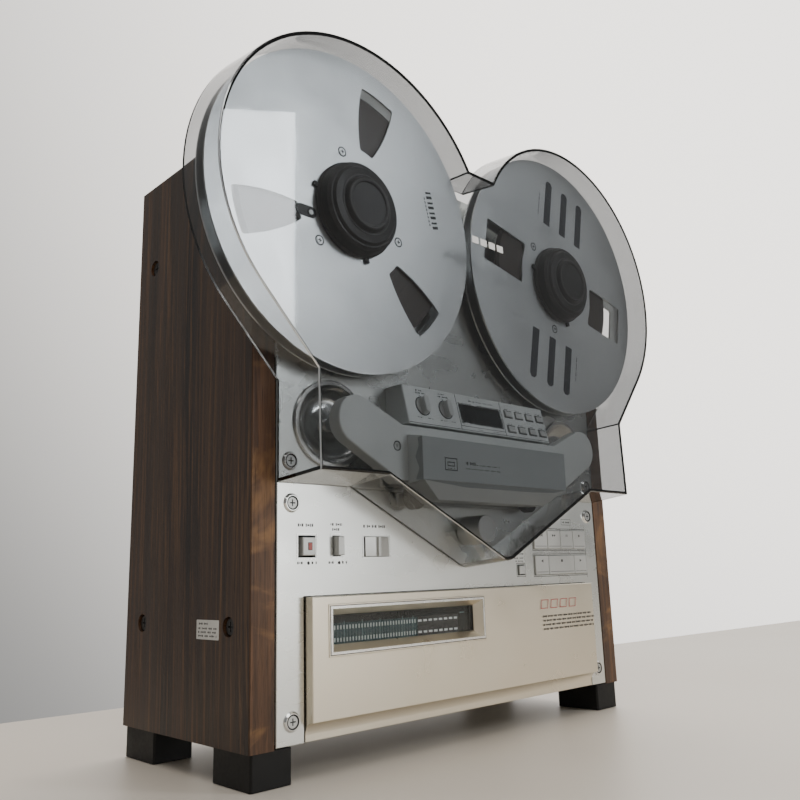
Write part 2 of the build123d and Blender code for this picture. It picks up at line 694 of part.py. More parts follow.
def make_capstan(side):
    """Capstan shaft with its flywheel."""
    x = side * CAPSTAN_X
    with BuildPart() as capstan:
        with BuildSketch(turning_plane(x, CAPSTAN_Z)):
            with BuildLine():
                Polyline((0, -15.8), (CAPSTAN_R - 0.4, -15.8), (CAPSTAN_R, -15.4), (CAPSTAN_R, 18), (9, 18),
                         (9, 22), (30, 22), (30, FLYWHEEL_FRONT), (FLYWHEEL_R, FLYWHEEL_FRONT),
                         (FLYWHEEL_R, FLYWHEEL_REAR), (30, FLYWHEEL_REAR), (30, 34), (9, 34), (9, 38),
                         (0, 38), close=True)
            make_face()
        revolve(axis=turning_axis(x, CAPSTAN_Z))
    finish(capstan, f"capstan_{side_name(side)}")


def make_capstan_belt():
    """Flat belt round both flywheels."""
    inner = FLYWHEEL_R + 0.3
    with BuildPart() as capstan_belt:
        with BuildSketch(front_plane(32)):
            with Locations((0, CAPSTAN_Z)):
                SlotCenterToCenter(2 * CAPSTAN_X, 2 * (inner + 0.8))
                SlotCenterToCenter(2 * CAPSTAN_X, 2 * inner, mode=Mode.SUBTRACT)
        extrude(amount=8)
    finish(capstan_belt, "capstan_belt")


def make_drive_motors():
    """Two reel motors and the stator of the capstan motor, fixed behind the deck."""
    with BuildPart() as drive_motors:
        for side in (-1, 1):
            x = side * REEL_X
            rod(x, REEL_Z, 44, (DECK_REAR, 8))
            rod(x, REEL_Z, 40, (8, 62))
            rod(x, REEL_Z, SPINDLE_R + 0.05, (0, 70), mode=Mode.SUBTRACT)
            rod(x, REEL_Z, 30, (26, 44), mode=Mode.SUBTRACT)
        tube(-CAPSTAN_X, CAPSTAN_Z, 34, 8, (10, 17))
    finish(drive_motors, "drive_motors")


def make_pinch_yoke():
    """Bar that lifts both pinch rollers to the capstans."""
    with BuildPart() as pinch_yoke:
        block((-84, 84), (190.5, 200.5), (-6.4, -3.6))
        for side in (-1, 1):
            x = side * CAPSTAN_X
            rod(x, PINCH_Z, 5, (-7.6, -3.6))
            rod(x, PINCH_Z, PIN_R, (-15, -3.6))
    finish(pinch_yoke, "pinch_yoke")


def make_pinch_roller(side):
    """Rubber roller that presses the tape on the capstan."""
    x = side * CAPSTAN_X
    with BuildPart() as pinch_roller:
        tube(x, PINCH_Z, PINCH_R, PIN_R + 0.05, (-14.9, -8))
    finish(pinch_roller, f"pinch_roller_{side_name(side)}")


ARM_LENGTH = 13
ARM_ANGLE = {-1: -20, 1: 200}
ARM_PIVOT_R = 5


def make_guide_bezels():
    """Polished bowls round the tension arms."""
    with BuildPart() as guide_bezels:
        for side in (-1, 1):
            x = side * BOWL_X
            with BuildSketch(turning_plane(x, BOWL_Z)):
                with BuildLine():
                    Polyline((ARM_PIVOT_R + 0.05, 12), (ARM_PIVOT_R + 0.05, 5.5), (14, 5.5))
                    ThreePointArc((14, 5.5), (25, 3.4), (29.6, -1.6))
                    Polyline((29.6, -1.6), (30.4, -2.2), (33.2, -2.2), (34, -1.4), (34, 0), (31, 0),
                             (30.2, 2.6), (24, 6), (16, 7), (9, 7), (9, 12), (ARM_PIVOT_R + 0.05, 12))
                make_face()
            revolve(axis=turning_axis(x, BOWL_Z))
    finish(guide_bezels, "guide_bezels")


def make_tension_arm(side):
    """Arm in the bowl with its flanged tape guide."""
    x = side * BOWL_X
    tip_x = x + ARM_LENGTH * cos(radians(ARM_ANGLE[side]))
    tip_z = BOWL_Z + ARM_LENGTH * sin(radians(ARM_ANGLE[side]))
    with BuildPart() as tension_arm:
        with BuildSketch(front_plane(4.5)):
            with Locations((x, BOWL_Z), (tip_x, tip_z)):
                Circle(5)
            with BuildLine():
                Line((x, BOWL_Z), (tip_x, tip_z))
            trace(line_width=8)
        extrude(amount=2.5)
        rod(x, BOWL_Z, ARM_PIVOT_R, (2, 14))
        rod(tip_x, tip_z, 3, (-14.9, 2))
        rod(tip_x, tip_z, 7.5, (-15.2, -14.9))
        rod(tip_x, tip_z, 5.5, (-14.9, -8.5))
        rod(tip_x, tip_z, 7.5, (-8.5, -7.3))
    finish(tension_arm, f"tension_arm_{side_name(side)}")


# ---- reels --------------------------------------------------------------------------------------
def make_reel_table(side):
    """Turntable with its spindle, which runs through the deck into the motor."""
    x = side * REEL_X
    with BuildPart() as reel_table:
        with BuildSketch(turning_plane(x, REEL_Z)):
            with BuildLine():
                Polyline((0, -34), (3.2, -34), (SPINDLE_R, -33), (SPINDLE_R, -5.66), (46, -5.66), (47, -5.2),
                         (47, -2.4), (44, -1.8), (10, -1.8), (10, -0.6), (SPINDLE_R, -0.6), (SPINDLE_R, 60),
                         (0, 60), close=True)
            make_face()
        revolve(axis=turning_axis(x, REEL_Z))
        tube(x, REEL_Z, 29, SPINDLE_R - 0.5, (28, 42))
    finish(reel_table, f"reel_table_{side_name(side)}")


def leaf_windows(inner_r=57, outer_r=115):
    """Three leaf-shaped windows with bulging flanks, round the sketch's origin."""
    inner_half, outer_half, bulge_half, bulge_r = 6.8, 9, 10.2, 90

    def at(radius, angle):
        return (radius * cos(radians(angle)), radius * sin(radians(angle)))

    with BuildSketch(Plane.XY) as windows:
        with PolarLocations(0, 3, start_angle=75.8):
            with BuildSketch(Plane.XY, mode=Mode.PRIVATE) as leaf:
                with BuildLine():
                    ThreePointArc(at(inner_r, -inner_half), at(bulge_r, -bulge_half), at(outer_r, -outer_half))
                    ThreePointArc(at(outer_r, -outer_half), at(outer_r, 0), at(outer_r, outer_half))
                    ThreePointArc(at(outer_r, outer_half), at(bulge_r, bulge_half), at(inner_r, inner_half))
                    ThreePointArc(at(inner_r, inner_half), at(inner_r, 0), at(inner_r, -inner_half))
                make_face()
                fillet(leaf.vertices(), 2.5)
            add(leaf.sketch)
    return windows.sketch


def square_windows():
    """Two wide windows across from each other."""
    with BuildSketch(Plane.XY) as windows:
        with PolarLocations(84.5, 2, start_angle=-11.5):
            RectangleRounded(57, 43, 2)
        Circle(HUB_R + 0.5, mode=Mode.SUBTRACT)
    return windows.sketch


def make_reel(side):
    """Metal reel: two flanges and a hub; screws at one radius show on the front flange."""
    x = side * REEL_X
    windows = leaf_windows() if side < 0 else square_windows()
    flange_rears = (FLANGE_FRONT + FLANGE_T, FLANGE_BACK)
    screw_angle = 104 if side < 0 else 138
    with BuildPart() as reel:
        for rear in flange_rears:
            with BuildSketch(front_plane(rear)):
                with Locations((x, REEL_Z)):
                    Circle(FLANGE_R)
                    Circle(HUB_BORE_R, mode=Mode.SUBTRACT)
                    add(windows, mode=Mode.SUBTRACT)
            extrude(amount=FLANGE_T)
        for index in range(3):
            angle = radians(screw_angle + 120 * index)
            rod(x + 49.5 * cos(angle), REEL_Z + 49.5 * sin(angle), 2.6, (FLANGE_FRONT - 0.5, FLANGE_FRONT + 0.2))
        hub_span = (flange_rears[0] + 0.04, FLANGE_BACK - FLANGE_T - 0.04)
        tube(x, REEL_Z, HUB_R, HUB_BORE_R, hub_span)
    finish(reel, f"reel_{side_name(side)}")


def make_tape_pack(side):
    """Wound tape on the hub."""
    with BuildPart() as tape_pack:
        tube(side * REEL_X, REEL_Z, PACK_R[side], HUB_R + 0.02, (TAPE_MID - TAPE_W / 2, TAPE_MID + TAPE_W / 2))
    finish(tape_pack, f"tape_pack_{side_name(side)}")


def make_hub_adapter(side):
    """Clamping adapter for big-centre reels: plug, stepped body, cap and three lugs."""
    x = side * REEL_X
    with BuildPart() as hub_adapter:
        with BuildSketch(turning_plane(x, REEL_Z)):
            with BuildLine():
                Polyline((SPINDLE_R + 0.05, -6.5), (37.9, -6.5), (37.9, -17.72), (39.4, -17.72), (39.4, -20.6),
                         (38.2, -21.4), (36.6, -28.2), (34, -30.4), (32.6, -30.4), (30.8, -32.6), (23, -33.4),
                         (21.4, -36.2), (20.6, -36.8), (18.2, -36.8), (17.4, -35.9), (0, -35.9), (0, -34.2),
                         (SPINDLE_R + 0.05, -34.2), close=True)
            make_face()
        revolve(axis=turning_axis(x, REEL_Z))
        for lug in range(3):
            angle = 165.4 + 120 * lug
            with Locations(Plane(origin=(x, y_at(-18.9), REEL_Z), x_dir=(1, 0, 0), z_dir=(0, -1, 0))):
                with PolarLocations(40, 1, start_angle=angle):
                    Box(7, 3.6, 2.3)
    finish(hub_adapter, f"hub_adapter_{side_name(side)}")


# ---- dust cover ---------------------------------------------------------------------------------
def tangent_corner(centre, radius, point):
    """Point where a line from `point` touches the lower outer side of a circle."""
    dx, dz = point[0] - centre[0], point[1] - centre[1]
    distance = hypot(dx, dz)
    spread = atan2((distance ** 2 - radius ** 2) ** 0.5, radius)
    angle = atan2(dz, dx) + (spread if point[0] > centre[0] else -spread)
    return (centre[0] + radius * cos(angle), centre[1] + radius * sin(angle))


def dust_cover_outline(inset):
    """Outline of the cover's open back: two discs, a neck and a V that drops below the heads."""
    neck = (197.8, 276.4)
    shoulder = (197.8, 202.3)
    v_start = (130.5, 202.3)
    v_bottom = 137
    saddle_top = 493
    right = [tangent_corner((REEL_X, REEL_Z), COVER_R, neck), neck, shoulder, v_start]
    left = [(-px, pz) for px, pz in right]
    with BuildSketch(Plane.XY) as outline:
        with BuildLine():
            Polyline((60, saddle_top), (60, REEL_Z), (REEL_X, REEL_Z), *right, (0, v_bottom), *left[::-1],
                     (-REEL_X, REEL_Z), (-60, REEL_Z), (-60, saddle_top), close=True)
        make_face()
        lowest = outline.vertices().sort_by(Axis.Y)[0]
        fillet(lowest, 22)
        with Locations((-REEL_X, REEL_Z), (REEL_X, REEL_Z)):
            Circle(COVER_R)
        if inset:
            offset(amount=-inset, kind=Kind.INTERSECTION, mode=Mode.REPLACE)
    return outline.sketch


def drafted_block(inset):
    """Block that narrows to the front, cut off by the sloping face `inset` behind the cover's own face."""
    outline = dust_cover_outline(inset)
    face = Plane(origin=(0, y_at(COVER_FACE_DEPTH + inset), REEL_Z), x_dir=(1, 0, 0),
                 z_dir=(0, -1, COVER_FACE_SLOPE))
    with BuildPart() as drafted:
        with BuildSketch(front_plane(COVER_BACK)):
            add(outline)
        extrude(amount=50, taper=COVER_DRAFT)
        split(bisect_by=face, keep=Keep.BOTTOM)
    return drafted.part


def make_dust_cover():
    """Drafted clear cover over the reels and the heads, open at the back."""
    outside, hollow = drafted_block(0), drafted_block(COVER_WALL)
    with BuildPart() as dust_cover:
        add(outside)
        face = dust_cover.faces().sort_by(Axis.Y)[0:12].sort_by(SortBy.AREA)[-1]
        fillet(face.edges(), 1.2)
        add(hollow, mode=Mode.SUBTRACT)
    finish(dust_cover, "dust_cover")


# ---- electrical pieces inside -------------------------------------------------------------------
def make_power_transformer():
    """Laminated core, winding and two mounting ears, on the bottom cover."""
    with BuildPart() as power_transformer:
        block((-150, -70), (26.5, 96), (95, 150))
        block((-138, -82), (34, 88), (82, 163))
        block((-160, -60), (26.5, 29), (110, 135))
    finish(power_transformer, "power_transformer")


def make_circuit_boards():
    """Audio, control and supply boards with their tall components, each on four stand-offs."""
    with BuildPart() as circuit_boards:
        block((-45, 185), (40, 41.6), (45, 145))
        for index in range(6):
            x = -38 + 36 * index
            block((x, x + 16), (41.6, 58 + 3 * (index % 3)), (60, 82))
            block((x + 4, x + 20), (41.6, 52), (105, 127))
        block((-150, 150), (180, 181.6), (60, 160))
        for index in range(5):
            x = -130 + 56 * index
            block((x, x + 22), (181.6, 198), (85, 107))
        block((-100, 100), (215, 300), (160, 161.6))
        block((-40, 40), (235, 280), (148, 160))
        for x in (-38, 178):
            for depth in (52, 138):
                with Locations((x, y_at(depth), 33.25)):
                    Cylinder(3, 13.5)
        for x in (-143, 143):
            for depth in (67, 153):
                with Locations((x, y_at(depth), 176.75)):
                    Cylinder(3, 6.5)
            for z in (222, 293):
                rod(x * 0.65, z, 3, (161.6, 180.5))
    finish(circuit_boards, "circuit_boards")


# ---- everything ---------------------------------------------------------------------------------
def main():
    os.makedirs("parts", exist_ok=True)
    for side in (-1, 1):
        make_wood_side(side)
        make_capstan(side)
        make_pinch_roller(side)
        make_tension_arm(side)
        make_reel_table(side)
        make_reel(side)
        make_tape_pack(side)
        make_hub_adapter(side)
    make_side_screws()
    make_feet()
    make_chassis_frame()
    make_flat_cover("top_cover", (SHELL_TOP, PANEL_TOP))
    make_flat_cover("bottom_cover", (PANEL_BOTTOM, 26.5))
    make_rear_cover()
    make_rear_connectors()
    make_upper_front_panel()
    make_lower_front_panel()
    make_front_screws()
    make_key("power_button", POWER_KEY, front=-3, gaps=(2.2, 1.35))
    make_key("reel_size_button", REEL_SIZE_KEY, front=-6, gaps=(1, 0.8))
    make_key("monitor_button", MONITOR_KEY, front=-2, gaps=(0.9, 0.9))
    make_key_row(("key_rewind", "key_fast_forward", "key_pause", "key_record"), TOP_ROW, (1, 1, 1, 1))
    make_key_row(("key_reverse_play", "key_stop", "key_forward_play"), BOTTOM_ROW, (1, 2, 1))
    make_cue_lever()
    make_door()
    make_door_window()
    make_meter_display()
    make_control_subpanel()
    make_level_knob("line_level_knob", LINE_KNOB)
    make_level_knob("output_level_knob", OUTPUT_KNOB)
    make_front_jacks()
    make_control_pod()
    make_counter_window()
    for name, centre in POD_KNOBS.items():
        make_bar_knob(name, centre)
    make_pod_keys()
    make_pitch_knob()
    make_head_cover()
    make_head_block()
    make_tape_heads()
    make_capstan_belt()
    make_drive_motors()
    make_pinch_yoke()
    make_guide_bezels()
    make_dust_cover()
    make_power_transformer()
    make_circuit_boards()


main()
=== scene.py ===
import bpy, bmesh, math
from mathutils import Vector, Matrix


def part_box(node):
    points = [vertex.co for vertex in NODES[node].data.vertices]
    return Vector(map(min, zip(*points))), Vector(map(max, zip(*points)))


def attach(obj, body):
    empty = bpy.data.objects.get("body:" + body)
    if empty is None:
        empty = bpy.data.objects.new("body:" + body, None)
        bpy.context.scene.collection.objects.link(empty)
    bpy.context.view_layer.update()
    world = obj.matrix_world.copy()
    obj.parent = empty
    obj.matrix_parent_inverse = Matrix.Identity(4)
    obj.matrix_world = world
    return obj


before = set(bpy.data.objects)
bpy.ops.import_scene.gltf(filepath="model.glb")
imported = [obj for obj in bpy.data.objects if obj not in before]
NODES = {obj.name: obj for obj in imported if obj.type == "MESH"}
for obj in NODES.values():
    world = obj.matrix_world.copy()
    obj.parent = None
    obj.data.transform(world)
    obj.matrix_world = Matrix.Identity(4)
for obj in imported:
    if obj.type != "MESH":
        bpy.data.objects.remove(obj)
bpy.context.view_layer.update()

MM = 0.001
PANEL_Y = -0.073685        # face of the front panel; depths below are mm behind it
REEL_X, REEL_Z = 0.1365, 0.421
SIDES = {"left": -1, "right": 1}

HEAD_COVER_FRONT = -27     # face of the head cover's lobes
COVER_PRINT_DEPTH = -41.37
FLANGE_STEP = 0.5          # the reel's flange lies this far behind its screw heads
REEL_SCREW_RADIUS = 49.5
REEL_PRINT_TURN = 78.5     # degrees that the right reel's print stands turned
ANCHOR_U, ANCHOR_V, ANCHOR_R = -183.7, 407.0, 4.6
JACK_PITCH = 20
METER_PITCH, PEAK_PITCH = 2.93, 6.0
TILE_PITCH, DOOR_LINE_PITCH = 14.6, 3.75
POD_KEY_PITCH, POD_KEY_ROWS = 15.2, (8.4, 22.8)
POD_KEY_CENTRES = [61.2 + POD_KEY_PITCH * (column - 1.5) for column in range(4)]
FRONT_SCREWS = [(side * 185, z) for side in (-1, 1) for z in (39.8, 188, 218.3, 468)]

METAL = 1.0
COVER_SMOKE, PANE_SMOKE = 265.0, 200

# Brightness of the room: the wall behind from left to right, the rest, and the glow in front on the right.
WALL_DIM, WALL_BRIGHT = 0.10, 2.45
ROOM, GLOW = 0.23, 4.2
GLOW_FROM = (0.42, -0.906, -0.02)


# ---- camera, lights, floor ----------------------------------------------------------------------
def add_camera():
    """Camera at the photo's place: low, in front and to the left."""
    place, lens = (-0.53163, -0.550962, 0.135767), 36.53
    pitch, yaw, roll = 0.2113, 0.7644, -0.0299
    forward = Vector((math.sin(yaw) * math.cos(pitch), math.cos(yaw) * math.cos(pitch), math.sin(pitch)))
    right = Vector((math.cos(yaw), -math.sin(yaw), 0))
    up = right.cross(forward)
    right, up = (math.cos(roll) * right + math.sin(roll) * up, math.cos(roll) * up - math.sin(roll) * right)
    data = bpy.data.cameras.new("camera")
    data.sensor_width = 36
    data.lens = lens
    camera = bpy.data.objects.new("camera", data)
    bpy.context.scene.collection.objects.link(camera)
    basis = Matrix((right, up, -forward)).transposed().to_4x4()
    camera.matrix_world = Matrix.Translation(place) @ basis
    bpy.context.scene.camera = camera


def add_area(name, place, target, size, radiance, colour):
    """Rectangular lamp whose surface has the given brightness."""
    data = bpy.data.lights.new(name, "AREA")
    data.shape = "RECTANGLE"
    data.size, data.size_y = size
    data.energy = radiance * math.pi * size[0] * size[1]
    data.color = colour
    light = bpy.data.objects.new(name, data)
    bpy.context.scene.collection.objects.link(light)
    light.location = place
    light.rotation_euler = (Vector(target) - Vector(place)).to_track_quat("-Z", "Y").to_euler()


def add_world():
    """Pale room: a lit wall behind the object, brighter to the right, and a soft glow in front of it."""
    world = bpy.data.worlds.new("world")
    bpy.context.scene.world = world
    world.use_nodes = True
    tree = world.node_tree
    direction = tree.nodes.new("ShaderNodeTexCoord").outputs["Generated"]

    def along(axis, low, high, to_low, to_high):
        dot = tree.nodes.new("ShaderNodeVectorMath")
        dot.operation = "DOT_PRODUCT"
        tree.links.new(direction, dot.inputs[0])
        dot.inputs[1].default_value = Vector(axis).normalized()
        spread = tree.nodes.new("ShaderNodeMapRange")
        spread.interpolation_type = "SMOOTHSTEP"
        tree.links.new(dot.outputs["Value"], spread.inputs[0])
        for socket, value in zip(spread.inputs[1:5], (low, high, to_low, to_high)):
            socket.default_value = value
        return spread.outputs[0]

    def combine(operation, a, b):
        node = tree.nodes.new("ShaderNodeMath")
        node.operation = operation
        tree.links.new(a, node.inputs[0])
        tree.links.new(b, node.inputs[1])
        return node.outputs[0]

    wall = combine("MULTIPLY", along((0.80, 0.0, 0.60), 0.1, 1.0, WALL_DIM, WALL_BRIGHT),
                   along((0, 1, 0), -0.35, 0.15, 0, 1))
    glow = along(GLOW_FROM, 0.95, 0.99, ROOM, GLOW)

    def tinted(colour, strength):
        node = tree.nodes.new("ShaderNodeVectorMath")
        node.operation = "SCALE"
        node.inputs[0].default_value = colour
        tree.links.new(strength, node.inputs["Scale"])
        return node.outputs[0]

    both = tree.nodes.new("ShaderNodeVectorMath")
    tree.links.new(tinted((1.03, 0.985, 0.93), wall), both.inputs[0])
    tree.links.new(tinted((1.0, 1.0, 0.985), glow), both.inputs[1])
    tree.links.new(both.outputs[0], tree.nodes["Background"].inputs["Color"])


def add_floor(material):
    """Plain floor, a hair under the feet, that ends behind the object as the table does in the photo."""
    mesh = bpy.data.meshes.new("floor")
    corners = [(-4, -4, 0), (4, -4, 0), (4, 0.1, 0), (-4, 0.6, 0)]
    mesh.from_pydata(corners, [], [(0, 1, 2, 3)])
    floor = bpy.data.objects.new("floor", mesh)
    floor.location.z = -0.0004
    bpy.context.scene.collection.objects.link(floor)
    mesh.materials.append(material)


# ---- material graphs ----------------------------------------------------------------------------
class Graph:
    """A new material with short calls for adding nodes to it."""

    def __init__(self, name, colour, roughness, metallic=0.0, **sockets):
        self.material = bpy.data.materials.new(name)
        self.material.use_nodes = True
        self.tree = self.material.node_tree
        self.shader = self.tree.nodes["Principled BSDF"]
        self.shader.inputs["Base Color"].default_value = (*colour, 1)
        self.shader.inputs["Roughness"].default_value = roughness
        self.shader.inputs["Metallic"].default_value = metallic
        for label, value in sockets.items():
            self.shader.inputs[label.replace("_", " ")].default_value = value
        self.object_coords = self.add("ShaderNodeTexCoord").outputs["Object"]
        self.bump_normal = None

    def add(self, kind, inputs=(), **settings):
        node = self.tree.nodes.new(kind)
        for key, value in settings.items():
            setattr(node, key, value)
        for socket, value in dict(inputs).items():
            self.put(node.inputs[socket], value)
        return node

    def put(self, socket, value):
        if isinstance(value, bpy.types.NodeSocket):
            self.tree.links.new(value, socket)
        elif isinstance(value, tuple) and len(value) == 3 and socket.type == "RGBA":
            socket.default_value = (*value, 1)
        else:
            socket.default_value = value

    def math(self, operation, a, b=0.0):
        return self.add("ShaderNodeMath", {0: a, 1: b}, operation=operation).outputs[0]

    def vector(self, operation, a, b):
        return self.add("ShaderNodeVectorMath", {0: a, 1: b}, operation=operation).outputs[0]

    def axes(self, vector=None):
        split = self.add("ShaderNodeSeparateXYZ", {0: vector or self.object_coords})
        return split.outputs

    def noise(self, scale, detail=3.0, roughness=0.5, distortion=0.0, vector=None):
        """Noise from 0 to 1; scale is features per metre along x, y, z."""
        stretched = self.vector("MULTIPLY", vector or self.object_coords, tuple(scale))
        return self.add("ShaderNodeTexNoise", {"Vector": stretched, "Scale": 1.0, "Detail": detail,
                        "Roughness": roughness, "Distortion": distortion}).outputs["Fac"]

    def spread(self, value, low, high, to_low=0.0, to_high=1.0, smooth=False):
        """Maps low..high of a value to another range, held at its ends."""
        node = self.add("ShaderNodeMapRange", {"Value": value, "From Min": low, "From Max": high,
                        "To Min": to_low, "To Max": to_high})
        if smooth:
            node.interpolation_type = "SMOOTHSTEP"
        return node.outputs[0]

    def mix(self, factor, a, b):
        node = self.add("ShaderNodeMix", data_type="RGBA")
        self.put(node.inputs[0], factor)
        self.put(node.inputs[6], a)
        self.put(node.inputs[7], b)
        return node.outputs[2]

    def soften(self, radius):
        """Shades edges as if they were rounded."""
        self.bump_normal = self.add("ShaderNodeBevel", {"Radius": radius}, samples=4).outputs[0]

    def bump(self, height, distance, strength=1.0):
        inputs = {"Height": height, "Distance": distance, "Strength": strength}
        if self.bump_normal:
            inputs["Normal"] = self.bump_normal
        self.bump_normal = self.add("ShaderNodeBump", inputs).outputs[0]
        self.put(self.shader.inputs["Normal"], self.bump_normal)

    def set(self, label, value):
        self.put(self.shader.inputs[label], value)

    def reel_radius(self):
        """Distance from the axis of the reel on this side of the deck."""
        x, _, z = self.axes()
        centre = self.spread(x, -0.0001, 0.0001, -REEL_X, REEL_X)
        dx = self.math("SUBTRACT", x, centre)
        dz = self.math("SUBTRACT", z, REEL_Z)
        return self.math("SQRT", self.math("ADD", self.math("MULTIPLY", dx, dx), self.math("MULTIPLY", dz, dz)))

    def rings(self, radius, per_metre, detail, roughness):
        """Noise that changes with the radius only."""
        line = self.add("ShaderNodeCombineXYZ", {0: radius}).outputs[0]
        return self.add("ShaderNodeTexNoise", {"Vector": line, "Scale": per_metre, "Detail": detail,
                        "Roughness": roughness}).outputs["Fac"]

    def clear_with_smoke(self, shadow_colour, smoke_colour, density):
        """Lets shadow rays through with a tint, and absorbs light in the thickness of the plastic."""
        path = self.add("ShaderNodeLightPath")
        clear = self.add("ShaderNodeBsdfTransparent", {"Color": shadow_colour})
        mixed = self.add("ShaderNodeMixShader", {0: path.outputs["Is Shadow Ray"], 1: self.shader.outputs[0],
                                                 2: clear.outputs[0]})
        smoke = self.add("ShaderNodeVolumeAbsorption", {"Color": smoke_colour, "Density": density})
        out = self.tree.nodes["Material Output"]
        self.put(out.inputs["Surface"], mixed.outputs[0])
        self.put(out.inputs["Volume"], smoke.outputs[0])


def worn(graph, base, dirt, amount, scale, low=0.45, high=0.7):
    """Soft cloudy colour change, so no face is one flat colour."""
    cloud = graph.spread(graph.noise((scale,) * 3, 4), low, high, 0, amount)
    return graph.mix(cloud, base, dirt)


def make_walnut():
    """Dark veneer with upright grain and pores, a warmer figured edge strip on the front, and a painted warm
    bounce light low on the sides.
    """
    g = Graph("walnut_veneer", (0.06, 0.035, 0.026), 0.42,
              Specular_IOR_Level=0.35, Coat_Weight=0.06, Coat_Roughness=0.35)
    wander = g.noise((3, 6, 1.2), 2)
    sway = g.add("ShaderNodeCombineXYZ", {0: wander, 1: wander, 2: 0.0}).outputs[0]
    shifted = g.vector("ADD", g.object_coords, g.vector("MULTIPLY", sway, (0.05, 0.05, 0.0)))
    bands = g.noise((45, 45, 0.9), 3, 0.6, vector=shifted)
    streaks = g.noise((260, 260, 3.5), 4, 0.65, vector=shifted)
    pores = g.noise((1500, 1500, 32), 2, 0.6, vector=shifted)
    dark, mid, warm = (0.016, 0.010, 0.008), (0.058, 0.034, 0.022), (0.165, 0.092, 0.048)
    colour = g.mix(g.spread(bands, 0.34, 0.68), dark, mid)
    colour = g.mix(g.spread(streaks, 0.50, 0.72, 0, 0.8), colour, warm)
    colour = g.mix(g.spread(streaks, 0.20, 0.42, 0.55, 0), colour, (0.012, 0.008, 0.007))
    colour = g.mix(g.spread(pores, 0.56, 0.70, 0, 0.75), colour, (0.008, 0.005, 0.004))
    height = g.axes()[2]
    # Painted light: a warm tint from 0.34 m down to 0.08 m stands in for warm light bounced up from the floor.
    painted_floor_bounce = g.math("MULTIPLY", g.spread(height, 0.34, 0.08, smooth=True),
                      g.spread(g.noise((2, 30, 5), 3, vector=shifted), 0.4, 0.75))
    colour = g.mix(g.math("MULTIPLY", painted_floor_bounce, 0.3), colour, (0.075, 0.036, 0.018))
    facing = g.axes(g.add("ShaderNodeNewGeometry").outputs["Normal"])
    front_edge = g.spread(g.math("MULTIPLY", facing[1], -1.0), 0.6, 0.9)
    edge_tone = g.mix(g.spread(g.noise((160, 40, 7), 4, 0.6), 0.35, 0.72),
                      (0.040, 0.020, 0.012), (0.20, 0.095, 0.042))
    figure = g.spread(g.noise((9, 9, 16), 4, 0.6, 1.5), 0.54, 0.72, smooth=True)
    edge_tone = g.mix(g.math("MULTIPLY", figure, 0.75), edge_tone, (0.34, 0.175, 0.062))
    edge_tone = g.mix(g.spread(pores, 0.56, 0.70, 0, 0.6), edge_tone, (0.014, 0.008, 0.006))
    colour = g.mix(g.math("MULTIPLY", front_edge, 0.85), colour, edge_tone)
    g.set("Base Color", colour)
    g.set("Roughness", g.spread(streaks, 0.3, 0.7, 0.38, 0.52))
    g.bump(g.math("SUBTRACT", streaks, g.spread(pores, 0.52, 0.7)), 0.00012, 0.55)
    return g.material


def make_brushed(name, colour, shade, roughness, along, depth=0.0000008, edge=0.0):
    """Metal with straight marks, `along` of them per metre on each axis, and slow changes of tone."""
    g = Graph(name, colour, roughness, METAL)
    if edge:
        g.soften(edge)
    marks = g.noise(along, 2 if along[2] < 60 else 4, 0.5)
    clouded = worn(g, colour, shade, 0.35, 9, 0.35, 0.75)
    g.set("Base Color", g.mix(g.spread(marks, 0.3, 0.75, 0, 0.08), clouded, shade))
    g.set("Roughness", g.math("ADD", g.spread(marks, 0.3, 0.7, roughness - 0.02, roughness + 0.02),
                              g.spread(g.noise((30, 30, 30), 3), 0.4, 0.8, 0, 0.05)))
    if depth:
        g.bump(marks, depth, 0.6)
    return g.material


def make_reel_metal():
    """Satin sheet with faint lathe rings round each reel's own centre and small handling marks."""
    g = Graph("reel_aluminium", (0.72, 0.74, 0.74), 0.34, METAL)
    radius = g.reel_radius()
    rings = g.rings(radius, 1500.0, 3.0, 0.5)
    smears = g.noise((22, 22, 22), 5, 0.62, 0.6)
    colour = g.mix(g.spread(smears, 0.42, 0.75, 0, 0.45), (0.76, 0.78, 0.78), (0.62, 0.64, 0.645))
    colour = g.mix(g.spread(rings, 0.35, 0.7, 0, 0.15), colour, (0.55, 0.57, 0.57))
    rim = g.spread(radius, 0.1310, 0.1330)
    colour = g.mix(g.math("MULTIPLY", rim, 0.4), colour, (0.88, 0.88, 0.88))
    g.set("Base Color", colour)
    g.set("Roughness", g.math("ADD", g.spread(smears, 0.35, 0.75, 0.33, 0.44),
                              g.spread(rings, 0.3, 0.7, -0.02, 0.03)))
    g.bump(rings, 0.000008, 0.5)
    return g.material


def make_plastic(name, colour, shade, roughness, grain=900, depth=0.00003, edge=0.0, **sockets):
    """Moulded plastic: fine grain, slow cloudiness and slightly uneven gloss."""
    g = Graph(name, colour, roughness, **sockets)
    if edge:
        g.soften(edge)
    fine = g.noise((grain,) * 3, 3, 0.6)
    g.set("Base Color", g.mix(g.spread(fine, 0.35, 0.7, 0, 0.25), worn(g, colour, shade, 0.6, 25), shade))
    g.set("Roughness", g.math("ADD", g.spread(fine, 0.3, 0.7, -0.05, 0.05),
                              g.spread(g.noise((35,) * 3, 3), 0.4, 0.75, roughness, roughness + 0.1)))
    g.bump(fine, depth, 0.5)
    return g.material


def make_chrome(name="chrome_trim", colour=(0.80, 0.81, 0.80), roughness=0.14):
    """Polished plate with faint turning marks and wipe haze."""
    g = Graph(name, colour, roughness, METAL)
    haze = g.noise((60, 60, 60), 5, 0.6, 0.4)
    g.set("Base Color", g.mix(g.spread(haze, 0.4, 0.75, 0, 0.3), colour, tuple(c * 0.75 for c in colour)))
    g.set("Roughness", g.spread(haze, 0.3, 0.75, roughness - 0.03, roughness + 0.12))
    g.bump(g.noise((700, 50, 700), 2), 0.000008, 0.4)
    return g.material


